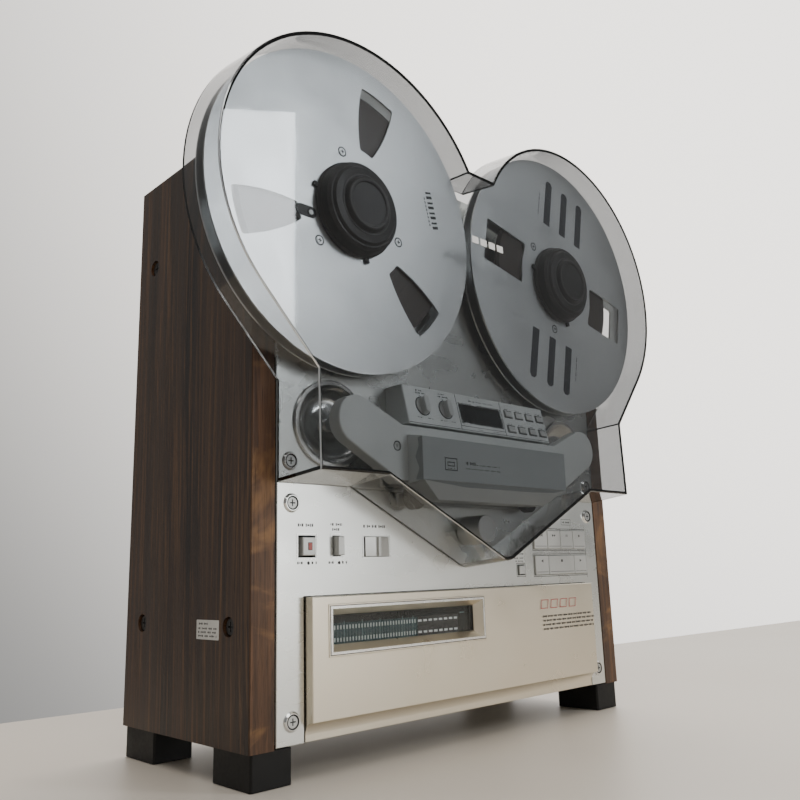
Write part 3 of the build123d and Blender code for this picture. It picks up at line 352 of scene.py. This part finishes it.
def make_tape():
    """Wound tape edge: many thin dark rings with a soft sheen."""
    g = Graph("tape_brown", (0.03, 0.022, 0.018), 0.34, Specular_IOR_Level=0.6)
    rings = g.rings(g.reel_radius(), 900.0, 4.0, 0.7)
    g.set("Base Color", g.mix(g.spread(rings, 0.35, 0.7), (0.026, 0.019, 0.015), (0.095, 0.070, 0.055)))
    g.set("Roughness", g.spread(rings, 0.3, 0.7, 0.26, 0.42))
    g.bump(rings, 0.00004, 0.6)
    return g.material


def make_rubber():
    """Matt rubber with a little pale dust."""
    colour = (0.012, 0.012, 0.012)
    g = Graph("black_rubber", colour, 0.62)
    dust = g.noise((120, 120, 120), 5, 0.65)
    g.set("Base Color", g.mix(g.spread(dust, 0.5, 0.8, 0, 0.5), colour, tuple(c * 2.2 + 0.012 for c in colour)))
    g.set("Roughness", g.spread(dust, 0.3, 0.8, 0.5, 0.75))
    g.bump(g.noise((1400,) * 3, 3), 0.00005, 0.5)
    return g.material


def make_cover_acrylic():
    """Smoked clear plastic: tinted in its thickness, with fine scuffs on its gloss."""
    g = Graph("smoked_acrylic", (1, 1, 1), 0.03, Transmission_Weight=1.0, IOR=1.49)
    scuffs = g.noise((40, 40, 40), 6, 0.7, 1.2)
    g.set("Roughness", g.spread(scuffs, 0.45, 0.8, 0.02, 0.075))
    g.bump(g.noise((14, 14, 14), 2), 0.0004, 0.12)
    g.clear_with_smoke((0.92, 0.92, 0.925), (0.28, 0.29, 0.30), COVER_SMOKE)
    return g.material


def make_pane():
    """The door's window: clear plastic with a faint green tint and wipe marks."""
    g = Graph("clear_pane", (1, 1, 1), 0.03, Transmission_Weight=1.0, IOR=1.3, Specular_IOR_Level=0.3)
    g.set("Roughness", g.spread(g.noise((50,) * 3, 5), 0.4, 0.8, 0.015, 0.06))
    g.clear_with_smoke((0.8, 0.82, 0.82), (0.35, 0.42, 0.43), PANE_SMOKE)
    return g.material


def make_floor_paint():
    """Plain pale floor with the faintest cloud."""
    g = Graph("floor_paint", (0.68, 0.61, 0.52), 0.45)
    cloud = g.noise((3, 3, 3), 4)
    g.set("Base Color", g.mix(g.spread(cloud, 0.3, 0.7), (0.70, 0.635, 0.55), (0.66, 0.59, 0.50)))
    return g.material


# ---- pieces made of thin shapes -----------------------------------------------------------------
def front_plane(depth):
    """Plane parallel to the panel, `depth` mm behind its face: local x right, y up, z to the viewer."""
    return Matrix(((1, 0, 0, 0), (0, 0, -1, PANEL_Y + depth * MM), (0, 1, 0, 0), (0, 0, 0, 1)))


def face_plane(name, behind=0.0):
    """The front plane at a node's foremost point, or some mm behind it."""
    low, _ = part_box(name)
    return front_plane((low.y - PANEL_Y) / MM + behind)


def box_mm(name):
    """A node's left, right, bottom and top in mm."""
    low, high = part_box(name)
    return low.x / MM, high.x / MM, low.z / MM, high.z / MM


def rectangle(u0, u1, v0, v1):
    return [(u0, v0), (u1, v0), (u1, v1), (u0, v1)]


def disc(u, v, radius, count=24):
    return [(u + radius * math.cos(math.tau * i / count), v + radius * math.sin(math.tau * i / count))
            for i in range(count)]


def outline_frame(u0, u1, v0, v1, width):
    """Rectangular frame as an outer and an inner loop."""
    return (rectangle(u0, u1, v0, v1), rectangle(u0 + width, u1 - width, v0 + width, v1 - width))


def ring(u, v, radius, width, count=40):
    return (disc(u, v, radius, count), disc(u, v, radius - width, count))


def arrow(u, v, width, height, direction=1):
    """Triangle that points right (1) or left (-1)."""
    return [(u - direction * width / 2, v - height / 2), (u + direction * width / 2, v),
            (u - direction * width / 2, v + height / 2)][::direction]


def dashes(u, v, length, height, phase=0):
    """Line of blocks of unequal widths in word-like groups: stands where the real object has small print."""
    widths = (1.3, 0.8, 1.5, 1.0, 1.7, 0.9)
    shapes, at, index = [], u, phase
    while at < u + length - 0.4:
        width = min(widths[index % len(widths)], u + length - at)
        lift = 0.18 * height if index % 3 == 1 else 0
        shapes.append(rectangle(at, at + width, v + lift, v + height - lift))
        at += width + (2.2 if index % 7 in (2, 6) else 0.6)
        index += 1
    return shapes


def raise_shapes(bm, plane, shapes, low, high):
    """Adds a thin solid, from low to high in mm, for each outline or pair of outer and inner loops."""
    def loop(points, lift):
        return [bm.verts.new(plane @ Vector((u * MM, v * MM, lift * MM))) for u, v in points]

    for shape in shapes:
        if isinstance(shape, tuple):
            outer, inner = shape
            loops = [loop(outer, low), loop(outer, high), loop(inner, high), loop(inner, low)]
            count = len(outer)
            for first, second in ((0, 1), (1, 2), (2, 3), (3, 0)):
                for i in range(count):
                    j = (i + 1) % count
                    bm.faces.new((loops[first][i], loops[first][j], loops[second][j], loops[second][i]))
        else:
            base, top = loop(shape, low), loop(shape, high)
            bm.faces.new(top)
            bm.faces.new(base[::-1])
            for i in range(len(shape)):
                j = (i + 1) % len(shape)
                bm.faces.new((base[i], base[j], top[j], top[i]))


def add_marks(name, plane, shapes, body, material, low=-0.02, high=0.03):
    """Makes thin shapes on a plane into one named piece that rides on a body."""
    bm = bmesh.new()
    raise_shapes(bm, plane, shapes, low, high)
    bmesh.ops.recalc_face_normals(bm, faces=bm.faces)
    mesh = bpy.data.meshes.new(name)
    bm.to_mesh(mesh)
    bm.free()
    mesh.materials.append(material)
    piece = bpy.data.objects.new(name, mesh)
    bpy.context.scene.collection.objects.link(piece)
    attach(piece, body)


def dress_where(material, name, chosen):
    """Gives a second material to the polygons whose centre and normal pass a test, in mm from the panel face."""
    node = NODES[name]
    node.data.materials.append(material)
    index = len(node.data.materials) - 1
    turn = node.matrix_world.to_3x3()
    for polygon in node.data.polygons:
        centre = node.matrix_world @ polygon.center
        if chosen(centre.x / MM, (centre.y - PANEL_Y) / MM, centre.z / MM, turn @ polygon.normal):
            polygon.material_index = index


def dress(material, *names):
    for name in names:
        data = NODES[name].data
        data.materials.clear()
        data.materials.append(material)
        for polygon in data.polygons:
            polygon.material_index = 0


# ---- small print and engraved lines ---------------------------------------------------------------
def turned(shapes, centre, angle):
    """Shapes turned about their own origin and moved to a centre."""
    c, s = math.cos(angle), math.sin(angle)

    def move(points):
        return [(centre[0] + u * c - v * s, centre[1] + u * s + v * c) for u, v in points]

    return [tuple(move(loop) for loop in shape) if isinstance(shape, tuple) else move(shape) for shape in shapes]


def position_mark(u, v):
    """Two short prints with a dot between them, under a two-position button."""
    return dashes(u - 10, v, 7.4, 1.7) + [disc(u, v + 0.7, 1.25, 16)] + dashes(u + 2.8, v, 5, 1.7, 2)


def add_panel_print():
    """Rows of blocks and thin lines where the lower panel has its small print."""
    shapes = dashes(-179.3, 171.4, 15.5, 2.2)
    shapes += dashes(-149.4, 172.6, 11, 1.9, 1) + dashes(-147.8, 168.9, 8.4, 1.9, 3)
    shapes += dashes(-117.2, 171.7, 7, 2.1, 2) + dashes(-108.4, 171.7, 15.4, 2.1)
    shapes += position_mark(-170.0, 144.8) + position_mark(-141.6, 144.8)
    shapes += dashes(66.5, 150.2, 13.5, 1.2, 1) + dashes(65, 146.4, 6, 1.2) + dashes(72.6, 146.4, 7.4, 1.2, 4)
    shapes += dashes(66.5, 143.8, 12, 0.9, 2)
    shapes += [outline_frame(141, 157, 178.5, 184.2, 0.35)] + dashes(143, 180.4, 12.4, 1.6, 1)
    shapes += [rectangle(179.6, 179.95, 127.5, 154.6), rectangle(94, 179.8, 152.2, 152.45)]
    add_marks("panel_print", front_plane(0), shapes, "cabinet", ink)


def add_key_symbols():
    """Small generic transport signs, each on its own key."""
    def pair(sign):
        return lambda u, v: [arrow(u - 1.5, v, 2.7, 2.6, sign), arrow(u + 1.5, v, 2.7, 2.6, sign)]

    signs = {
        "key_rewind": pair(-1), "key_fast_forward": pair(1),
        "key_pause": lambda u, v: [rectangle(u - 1.4, u - 0.5, v - 1.1, v + 1.1),
                                   rectangle(u + 0.5, u + 1.4, v - 1.1, v + 1.1)],
        "key_record": lambda u, v: [disc(u, v, 1.25, 18)],
        "key_reverse_play": lambda u, v: [arrow(u, v, 3.2, 3.0, -1)],
        "key_stop": lambda u, v: [rectangle(u - 1.4, u + 1.4, v - 1.2, v + 1.2)],
        "key_forward_play": lambda u, v: [arrow(u, v, 3.2, 3.0, 1)],
    }
    for key, sign in signs.items():
        left, right, foot, top = box_mm(key)
        shapes = sign((left + right) / 2, top - 5.0) + [rectangle(left + 1.6, right - 1.6, foot + 2.3, foot + 2.7)]
        add_marks(key + "_sign", face_plane(key), shapes, key, ink)


def add_key_frames():
    """Dark lines round the keys and the monitor button, and bright frames round the left-hand buttons."""
    lines = [outline_frame(92.6, 179.6, 129.6, 150.9, 0.55), outline_frame(92.6, 179.6, 153.6, 174.9, 0.55)]
    lines += [outline_frame(67.2, 80.4, 130.2, 142.6, 0.5)]
    add_marks("key_frames", front_plane(0), lines, "cabinet", dark_line)
    frames = [outline_frame(-180.6, -162.0, 148.0, 166.6, 0.45), outline_frame(-149.2, -138.2, 148.6, 166.8, 0.45),
              outline_frame(-118.4, -89.6, 148.2, 166.4, 0.45)]
    add_marks("button_frames", front_plane(0), frames, "cabinet", rim_metal, high=0.25)


def dress_screws():
    """Dark slots and shadowed seats for the cross-head screws on the panels."""
    def radius(x, z):
        return min(math.hypot(x - u, z - v) for u, v in FRONT_SCREWS)

    dress_where(cast_metal, "front_screws", lambda x, d, z, n: radius(x, z) < 4.2)
    dress_where(dark_line, "front_screws", lambda x, d, z, n: radius(x, z) < 2.6 and (d > -1.3 or abs(n.y) < 0.5))
    dress_where(dark_line, "front_screws", lambda x, d, z, n: 3.9 < radius(x, z) < 4.9 and d > -1.75)
    rims = [ring(u, v, 4.9, 0.8, 32) for u, v in FRONT_SCREWS]
    add_marks("screw_seats", front_plane(-0.75), rims, "cabinet", dark_line)


def dress_jacks():
    """Plated phono jacks on insulators, red in the lower row and white in the upper one."""
    def near(x, z, low, high, row):
        return any(low <= math.hypot(x + 20 + JACK_PITCH * column, z - 75 - JACK_PITCH * (row - 0.5)) < high
                   for column in range(4))

    dress_where(chrome, "rear_connectors", lambda x, d, z, n: near(x, z, 0, 4.3, 0) or near(x, z, 0, 4.3, 1))
    dress_where(jack_red, "rear_connectors", lambda x, d, z, n: near(x, z, 4.3, 6.3, 0))
    dress_where(jack_white, "rear_connectors", lambda x, d, z, n: near(x, z, 4.3, 6.3, 1))


def add_cap_rings():
    """Pale rings on the adapters' steps, partly wear and partly painted highlight on the step edges, and dark rims
    in the head cover's screw wells as painted shade.
    """
    for side, sign in SIDES.items():
        for name, depth, radius, low in (("rim", -36.82, 20.0, -0.02), ("step", -33.6, 24.6, -0.6)):
            # Pale ring on each step edge: partly wear, partly a painted highlight.
            edge = ring(sign * REEL_X / MM, REEL_Z / MM, radius, 0.5, 64)
            add_marks("adapter_%s_%s" % (name, side), front_plane(depth), [edge], side + "_reel", worn_edge_and_highlight,
                      low=low, high=0.02)
    # Painted shade: dark rings that stand in for the shade inside the head cover's screw wells.
    rims = [ring(x, 232.6, 4.0, 0.9, 32) for x in (-105.5, 105.5)]
    add_marks("head_cover_screw_rims", front_plane(HEAD_COVER_FRONT), rims, "cabinet", dark_line)


def add_power_lens():
    """Red lens and its dark rim on the power button."""
    left, right, foot, top = box_mm("power_button")
    u, v = (left + right) / 2 + 0.8, (foot + top) / 2
    plane = face_plane("power_button")
    add_marks("power_lens", plane, [rectangle(u - 1.5, u + 1.5, v - 2.4, v + 2.4)], "power_button",
              lens_red, high=0.25)
    add_marks("power_lens_rim", plane, [outline_frame(u - 1.9, u + 1.9, v - 2.8, v + 2.8, 0.4)],
              "power_button", dark_line, high=0.12)


def add_door_print():
    """Window outline, a row of red tiles and four lines of small print on the door."""
    plane = face_plane("door")
    left, right, foot, top = box_mm("door_window")

    def frame_outside(gap, width):
        return [outline_frame(left - gap, right + gap, foot - gap, top + gap, width)]

    add_marks("window_rim", plane, frame_outside(1.7, 1.7), "front_door", rim_metal, high=0.3)
    add_marks("window_groove", plane, frame_outside(2.3, 0.55), "front_door", dark_line, high=0.04)
    tiles = []
    for index in range(4):
        u = 88 + TILE_PITCH * index
        tiles.append(([(u, 101), (u + 10.5, 101), (u + 12.5, 109), (u + 2, 109)],
                      [(u + 1, 101.6), (u + 10.1, 101.6), (u + 11.6, 108.4), (u + 2.5, 108.4)]))
    add_marks("door_tiles", plane, tiles, "front_door", print_red)
    lines = []
    for row, length in enumerate((76, 84, 79, 80)):
        lines += dashes(91, 93.2 - DOOR_LINE_PITCH * row, length, 1.7, row)
    add_marks("door_print", plane, lines, "front_door", ink)


def add_meter():
    """Two rows of level segments, scale lines and the dark end strip behind the door's window."""
    left, _, _, top = box_mm("meter_display")
    plane = face_plane("meter_display")
    segments = [-151.2 + METER_PITCH * index for index in range(31)]
    peaks = [-57.9 + PEAK_PITCH * index for index in range(8)]
    fine, wide = [], []
    for v in (99.0, 90.2):
        fine += [rectangle(u - 0.62, u + 0.62, v - 1.45, v + 1.45) for u in segments]
        wide += [rectangle(u - 1.95, u + 1.95, v - 0.85, v + 0.85) for u in peaks]
    add_marks("meter_segments", plane, fine, "cabinet", segment_pale, high=0.15)
    add_marks("meter_peak_segments", plane, wide, "cabinet", segment_bright, high=0.15)
    decades = (-136.2, -118.5, -100.7, -76.8, -65.4)
    lines = [rectangle(u - 0.13, u + 0.13, 85.8, 103.4) for u in decades]
    lines += [rectangle(u - 0.08, u + 0.08, 91.8, 97.4) for u in segments]
    lines += [disc(u, 85.9, 0.75, 12) for u in decades[:4]]
    lines += dashes(-10.4, 102.4, 5, 1.0) + dashes(-10.6, 85.6, 5.4, 1.0, 2)
    add_marks("meter_scale", plane, lines, "cabinet", scale_teal, high=0.1)
    add_marks("meter_field", plane, [rectangle(left + 0.4, -60.5, 86.8, 102.2)], "cabinet", field_teal,
              high=0.03)
    add_marks("meter_peak_field", plane, [rectangle(-60.3, -12.6, 86.8, 102.2)], "cabinet", field_brown,
              high=0.03)
    add_marks("meter_end_strip", plane, [rectangle(0.2, 4.6, top - 24.6, top - 0.4)], "cabinet",
              dark_line, high=1.4)


def pod_plane():
    """The console's sloping face: local x right, y up the slope, z outwards."""
    foot = Vector((0, PANEL_Y - 0.027, 0.252))
    slope = Vector((0, 7.9, 33.3)).normalized()
    normal = Vector((0, -slope.z, slope.y))
    basis = Matrix((Vector((1, 0, 0)), slope, normal)).transposed().to_4x4()
    return Matrix.Translation(foot) @ basis


def add_pod_print():
    """Print, the display's frame, dark rims round the keys, and dark rings round the knobs painted as the shadow
    in their pockets.
    """
    plane = pod_plane()
    lines = [rectangle(u - 0.3, u + 0.3, 0.8, 33.4) for u in (-29.6, 28.9)]
    lines += [rectangle(-29.4, 28.7, 4.4, 4.8), rectangle(-91, 91, 1.0, 1.5)]
    # Painted shadow: dark rings at the edges of the knobs' pockets.
    lines += [ring(u, 17, 8.4, 0.8, 36) for u in (-72, -45)]
    lines += dashes(-77.5, 27.8, 11, 1.2) + dashes(-77.0, 30.2, 8, 1.1, 2) + dashes(-51.5, 27.8, 13, 1.3, 1)
    lines += dashes(-50.5, 30.4, 8, 0.8, 3) + [disc(-46.6, 26.4, 0.5, 12), disc(-73.6, 26.4, 0.5, 12)]
    for phase, (u, length) in enumerate(((-80.5, 7), (-69, 6), (-53.5, 7))):
        lines += dashes(u, 6.2, length, 0.7, phase)
    lines += dashes(-41, 6.2, 6, 0.7)
    lines += dashes(-13, 28.6, 3.4, 1.4) + dashes(-8.4, 28.8, 28, 0.8, 1)
    lines += dashes(-8, 2.4, 5, 0.7) + dashes(12, 2.4, 7, 0.7, 2)
    add_marks("display_frame", plane, [outline_frame(-28.2, 27.4, 7.0, 26.2, 0.8)], "cabinet", rim_metal,
              high=0.2)
    for column, u in enumerate(POD_KEY_CENTRES):
        lines += dashes(u - 4, 27.2, 7, 0.8, column) + dashes(u - 4, 12.8, 6.5, 0.8, column + 1)
    add_marks("pod_print", plane, lines, "cabinet", ink, high=0.08)
    rims = [outline_frame(u - 5.7, u + 5.7, v - 3.7, v + 3.7, 0.8) for u in POD_KEY_CENTRES for v in POD_KEY_ROWS]
    add_marks("pod_key_rims", plane, rims, "cabinet", dark_line, high=0.1)


def add_head_cover_print():
    """Small outlined badge and two lines of print on the raised box."""
    shapes = [outline_frame(-68, -53.6, 214.6, 224.8, 0.8), outline_frame(-65, -56.6, 218, 221.6, 0.7)]
    shapes += dashes(-65, 215.9, 8.6, 0.7)
    shapes += dashes(-43.5, 220.4, 12, 2.6, 1) + dashes(-30.2, 220.4, 29, 0.8, 2) + dashes(-43.5, 216.9, 43, 0.8)
    add_marks("head_cover_print", face_plane("head_cover"), shapes, "cabinet", ink)


def add_screw_faces():
    """Dark cross slots and rims on the three screws in each reel's hub."""
    for side, first in (("left", 104), ("right", 138)):
        body, reel = side + "_reel", "reel_" + side
        rims, slots = [], []
        for index in range(3):
            angle = math.radians(first + 120 * index)
            u = SIDES[side] * REEL_X / MM + REEL_SCREW_RADIUS * math.cos(angle)
            v = REEL_Z / MM + REEL_SCREW_RADIUS * math.sin(angle)
            rims.append(ring(u, v, 4.3, 1.1, 28))
            slots += [rectangle(u - 1.7, u + 1.7, v - 0.45, v + 0.45),
                      rectangle(u - 0.45, u + 0.45, v - 1.7, v + 1.7)]
        add_marks("reel_screw_rims_" + side, face_plane(reel, FLANGE_STEP), rims, body, dark_line,
                  high=0.06)
        add_marks("reel_screw_slots_" + side, face_plane(reel), slots, body, dark_line, high=0.03)


def add_reel_print():
    """Plain bars on the right reel, a short bar print and a tape anchor on the left one."""
    flange = face_plane("reel_right", FLANGE_STEP)
    bars, small = [], []
    for turn in (0, math.pi):
        place = ((REEL_X / MM, REEL_Z / MM), math.radians(REEL_PRINT_TURN) + turn)
        for v in (24.5, -2.5, -29.5):
            bars += turned([[(60, v - 5.2), (109, v - 5.2), (112, v - 2.4), (112, v + 2.4), (109, v + 5.2),
                             (60, v + 5.2)]], *place)
        small += turned(dashes(66, 38, 26, 1.6), *place)
    add_marks("reel_bars", flange, bars, "right_reel", ink_blue, high=0.04)
    add_marks("reel_small_print", flange, small, "right_reel", ink)

    print_left = [rectangle(2.8, 9.8, -15 + 9.2 * i, -12.4 + 9.2 * i) for i in range(4)]
    print_left += [rectangle(2.8, 9.8, -10.4 + 9.2 * i, -8.6 + 9.2 * i) for i in range(4)]
    print_left += [rectangle(-0.6, 0.6, -12 + 3.4 * i, -9.8 + 3.4 * i) for i in range(8)]
    print_left = turned(print_left, (-REEL_X / MM + 84, REEL_Z / MM + 24), math.radians(14))
    add_marks("reel_left_print", flange, print_left, "left_reel", ink)

    capsule = []
    for shift, start in ((-6, 90), (4, -90)):
        for angle in [math.radians(start + 15 * i) for i in range(13)]:
            capsule.append((ANCHOR_U + shift + ANCHOR_R * math.cos(angle), ANCHOR_V + ANCHOR_R * math.sin(angle)))
    add_marks("tape_anchor", flange, [capsule], "left_reel", anchor_dark, low=-0.05, high=0.35)
    add_marks("tape_anchor_ring", flange, [ring(ANCHOR_U + 3.4, ANCHOR_V, 3.7, 1.2, 28)], "left_reel", dark_line,
              low=0.3, high=0.5)
    add_marks("tape_anchor_pin", flange, [disc(ANCHOR_U + 3.4, ANCHOR_V, 2.0, 18)], "left_reel", cast_metal,
              low=0.3, high=0.6)


def add_cover_mark():
    """Four short white bars on the dust cover between the reels."""
    bars = [rectangle(-20 + 11.2 * i, -11.4 + 11.2 * i, -3.2, 3.2) for i in range(4)]
    plane = (front_plane(COVER_PRINT_DEPTH) @ Matrix.Translation((0, 0.4225, 0))
             @ Matrix.Rotation(-0.02, 4, "X"))
    add_marks("cover_print", plane, bars, "dust_cover", print_white, low=0.02, high=0.08)


def add_side_label():
    """Blank pale sticker with grey bars on the left wooden side."""
    low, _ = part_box("wood_side_left")
    plane = Matrix(((0, 0, -1, low.x), (-1, 0, 0, PANEL_Y), (0, 1, 0, 0), (0, 0, 0, 1)))
    sticker = [(-69.5, 94.6), (-69, 94.2), (-39.4, 94.2), (-38.9, 94.8),
               (-38.9, 107.2), (-39.4, 107.8), (-69, 107.8), (-69.5, 107.3)]
    add_marks("side_label", plane, [sticker], "cabinet", label_white, low=-0.05, high=0.12)
    bars = dashes(-66, 104.4, 12, 1.4) + dashes(-67, 101.2, 25, 1.3, 1)
    bars += dashes(-67, 98.6, 24, 1.3, 2) + dashes(-67, 96, 25, 1.3, 3)
    add_marks("side_label_print", plane, bars, "cabinet", ink, low=0.1, high=0.15)


# ---- build --------------------------------------------------------------------------------------
add_camera()
add_world()
add_floor(make_floor_paint())
add_area("window", (1.09, -2.2, 1.56), (-0.25, -0.116, 0.36), (0.42, 0.90), 14.0, (0.93, 0.97, 1.0))
add_area("ceiling", (-0.7, -1.1, 2.3), (0, 0, 0.3), (1.6, 1.2), 3.5, (1.0, 0.98, 0.95))

walnut = make_walnut()
panel_metal = make_brushed("panel_aluminium", (0.80, 0.82, 0.80), (0.72, 0.74, 0.72), 0.27, (3, 3, 45), depth=0)
door_metal = make_brushed("door_aluminium", (0.80, 0.74, 0.62), (0.74, 0.68, 0.56), 0.29, (30, 30, 30),
                          depth=0.000004, edge=0.0007)
reel_metal = make_reel_metal()
knob_metal = make_brushed("knob_aluminium", (0.78, 0.79, 0.78), (0.62, 0.63, 0.62), 0.30, (25, 25, 700))
cast_metal = make_brushed("zinc_steel", (0.55, 0.56, 0.55), (0.40, 0.41, 0.40), 0.38, (200, 200, 200))
chrome = make_chrome()
black_steel = make_plastic("black_steel", (0.020, 0.020, 0.021), (0.032, 0.031, 0.030), 0.5, 600)
black_plastic = make_plastic("black_plastic", (0.014, 0.014, 0.015), (0.030, 0.029, 0.029), 0.36, 500)
feet_plastic = make_plastic("feet_plastic", (0.006, 0.006, 0.006), (0.012, 0.011, 0.010), 0.5, 350, edge=0.0008,
                            Specular_IOR_Level=0.3)
head_grey = make_plastic("grey_moulding", (0.70, 0.73, 0.72), (0.60, 0.63, 0.62), 0.36, 1200, edge=0.0008,
                         Metallic=0.25)
head_dark = make_plastic("grey_moulding_face", (0.40, 0.43, 0.43), (0.35, 0.38, 0.38), 0.40, 1200, edge=0.0008)
silver = make_plastic("silver_plastic", (0.60, 0.61, 0.60), (0.50, 0.51, 0.50), 0.32, 1200, edge=0.0005,
                      Metallic=0.55)
adapter_plastic = make_plastic("adapter_plastic", (0.016, 0.014, 0.013), (0.050, 0.044, 0.040), 0.42, 260,
                               0.00004, edge=0.0006)
jack_red = make_plastic("jack_red", (0.45, 0.03, 0.03), (0.32, 0.03, 0.03), 0.4, 900)
jack_white = make_plastic("jack_white", (0.70, 0.69, 0.66), (0.55, 0.54, 0.50), 0.4, 900)
rubber = make_rubber()
tape = make_tape()
display = make_plastic("display_black", (0.008, 0.011, 0.012), (0.014, 0.018, 0.019), 0.12, 300, 0.00001)
board = make_plastic("board_green", (0.03, 0.10, 0.045), (0.02, 0.06, 0.03), 0.4, 500)
motor = make_plastic("motor_steel", (0.10, 0.10, 0.11), (0.05, 0.05, 0.05), 0.4, 400)
ink = make_plastic("ink", (0.018, 0.018, 0.020), (0.035, 0.034, 0.034), 0.5, 2500, 0.000002)
ink_blue = make_plastic("ink_blue", (0.022, 0.024, 0.034), (0.034, 0.036, 0.046), 0.45, 2500, 0.000002)
dark_line = make_plastic("dark_line", (0.010, 0.010, 0.011), (0.018, 0.018, 0.018), 0.45, 2500, 0.000002)
anchor_dark = make_plastic("anchor_dark", (0.05, 0.05, 0.052), (0.03, 0.03, 0.03), 0.4, 1500, 0.00001)
print_red = make_plastic("print_red", (0.50, 0.06, 0.07), (0.42, 0.08, 0.08), 0.5, 2500, 0.000002)
print_white = make_plastic("print_white", (0.85, 0.85, 0.84), (0.75, 0.75, 0.74), 0.5, 2500, 0.000002)
label_white = make_plastic("label_white", (0.62, 0.62, 0.60), (0.48, 0.48, 0.46), 0.6, 1200, 0.00001)
lens_red = make_plastic("lens_red", (0.42, 0.09, 0.08), (0.30, 0.06, 0.06), 0.25, 900, 0.00001)
segment_pale = make_plastic("segment_pale", (0.66, 0.70, 0.66), (0.50, 0.55, 0.52), 0.45, 900, 0.00001)
segment_bright = make_plastic("segment_bright", (0.95, 0.95, 0.92), (0.80, 0.80, 0.76), 0.45, 900, 0.00001)
scale_teal = make_plastic("scale_teal", (0.22, 0.34, 0.34), (0.14, 0.24, 0.24), 0.4, 900, 0.00001)
field_teal = make_plastic("field_teal", (0.030, 0.060, 0.064), (0.018, 0.036, 0.040), 0.25, 900, 0.00001)
field_brown = make_plastic("field_brown", (0.060, 0.052, 0.050), (0.038, 0.034, 0.034), 0.25, 900, 0.00001)
# Pale ring colour for the adapter steps: partly wear, partly a painted highlight on their edges.
worn_edge_and_highlight = make_plastic("worn_edge_and_highlight", (0.10, 0.095, 0.09), (0.05, 0.046, 0.044), 0.5, 400)
rim_metal = make_chrome("rim_metal", (0.86, 0.87, 0.86), 0.22)
# Painted highlight: a pale metal-like finish that stands in for the light caught along the cover's lower left
# edges.
painted_edge_highlight = make_chrome("painted_edge_highlight", (0.70, 0.72, 0.73), 0.30)
acrylic = make_cover_acrylic()
pane = make_pane()

dress(walnut, "wood_side_left", "wood_side_right")
dress(panel_metal, "upper_front_panel", "lower_front_panel")
dress(door_metal, "door")
dress(reel_metal, "reel_left", "reel_right")
dress(knob_metal, "line_level_knob", "output_level_knob", "pitch_knob", "head_block")
dress(cast_metal, "bottom_cover", "chassis_frame", "tape_heads", "capstan_left", "capstan_right", "pinch_yoke",
      "tension_arm_left", "tension_arm_right")
dress(chrome, "front_screws", "guide_bezels")
dress(black_steel, "top_cover", "rear_cover", "side_screws")
dress(adapter_plastic, "hub_adapter_left", "hub_adapter_right")
dress(black_plastic, "control_subpanel", "front_jacks", "reel_table_left",
      "reel_table_right", "rear_connectors")
dress(feet_plastic, "feet")
dress(head_grey, "head_cover", "control_pod")
dress_where(head_dark, "head_cover",
            lambda x, d, z, n: abs(x) < 94 and d < -36.5 and 203.5 < z < 243 and n.z > -0.5)
dress(silver, "power_button", "reel_size_button", "cue_lever", "key_rewind", "key_fast_forward", "key_pause",
      "key_record", "key_reverse_play", "key_stop", "key_forward_play", "monitor_button", "pod_keys",
      "speed_knob", "equalizer_knob")
dress(rubber, "capstan_belt", "pinch_roller_left", "pinch_roller_right")
dress(tape, "tape_pack_left", "tape_pack_right")
dress(display, "meter_display", "counter_window")
dress(board, "circuit_boards")
dress(motor, "power_transformer", "drive_motors")
dress(acrylic, "dust_cover")
dress(pane, "door_window")
# Painted highlight: the cover's left, front-facing bevel faces below 470 mm get the pale metal finish instead of
# the clear plastic, to show a lit edge.
dress_where(painted_edge_highlight, "dust_cover",
            lambda x, d, z, n: n.x < -0.25 and -0.92 < n.y < -0.2 and z < 470)
dress_screws()
dress_jacks()

add_panel_print()
add_key_frames()
add_key_symbols()
add_power_lens()
add_door_print()
add_meter()
add_pod_print()
add_head_cover_print()
add_screw_faces()
add_reel_print()
add_cover_mark()
add_side_label()
add_cap_rings()
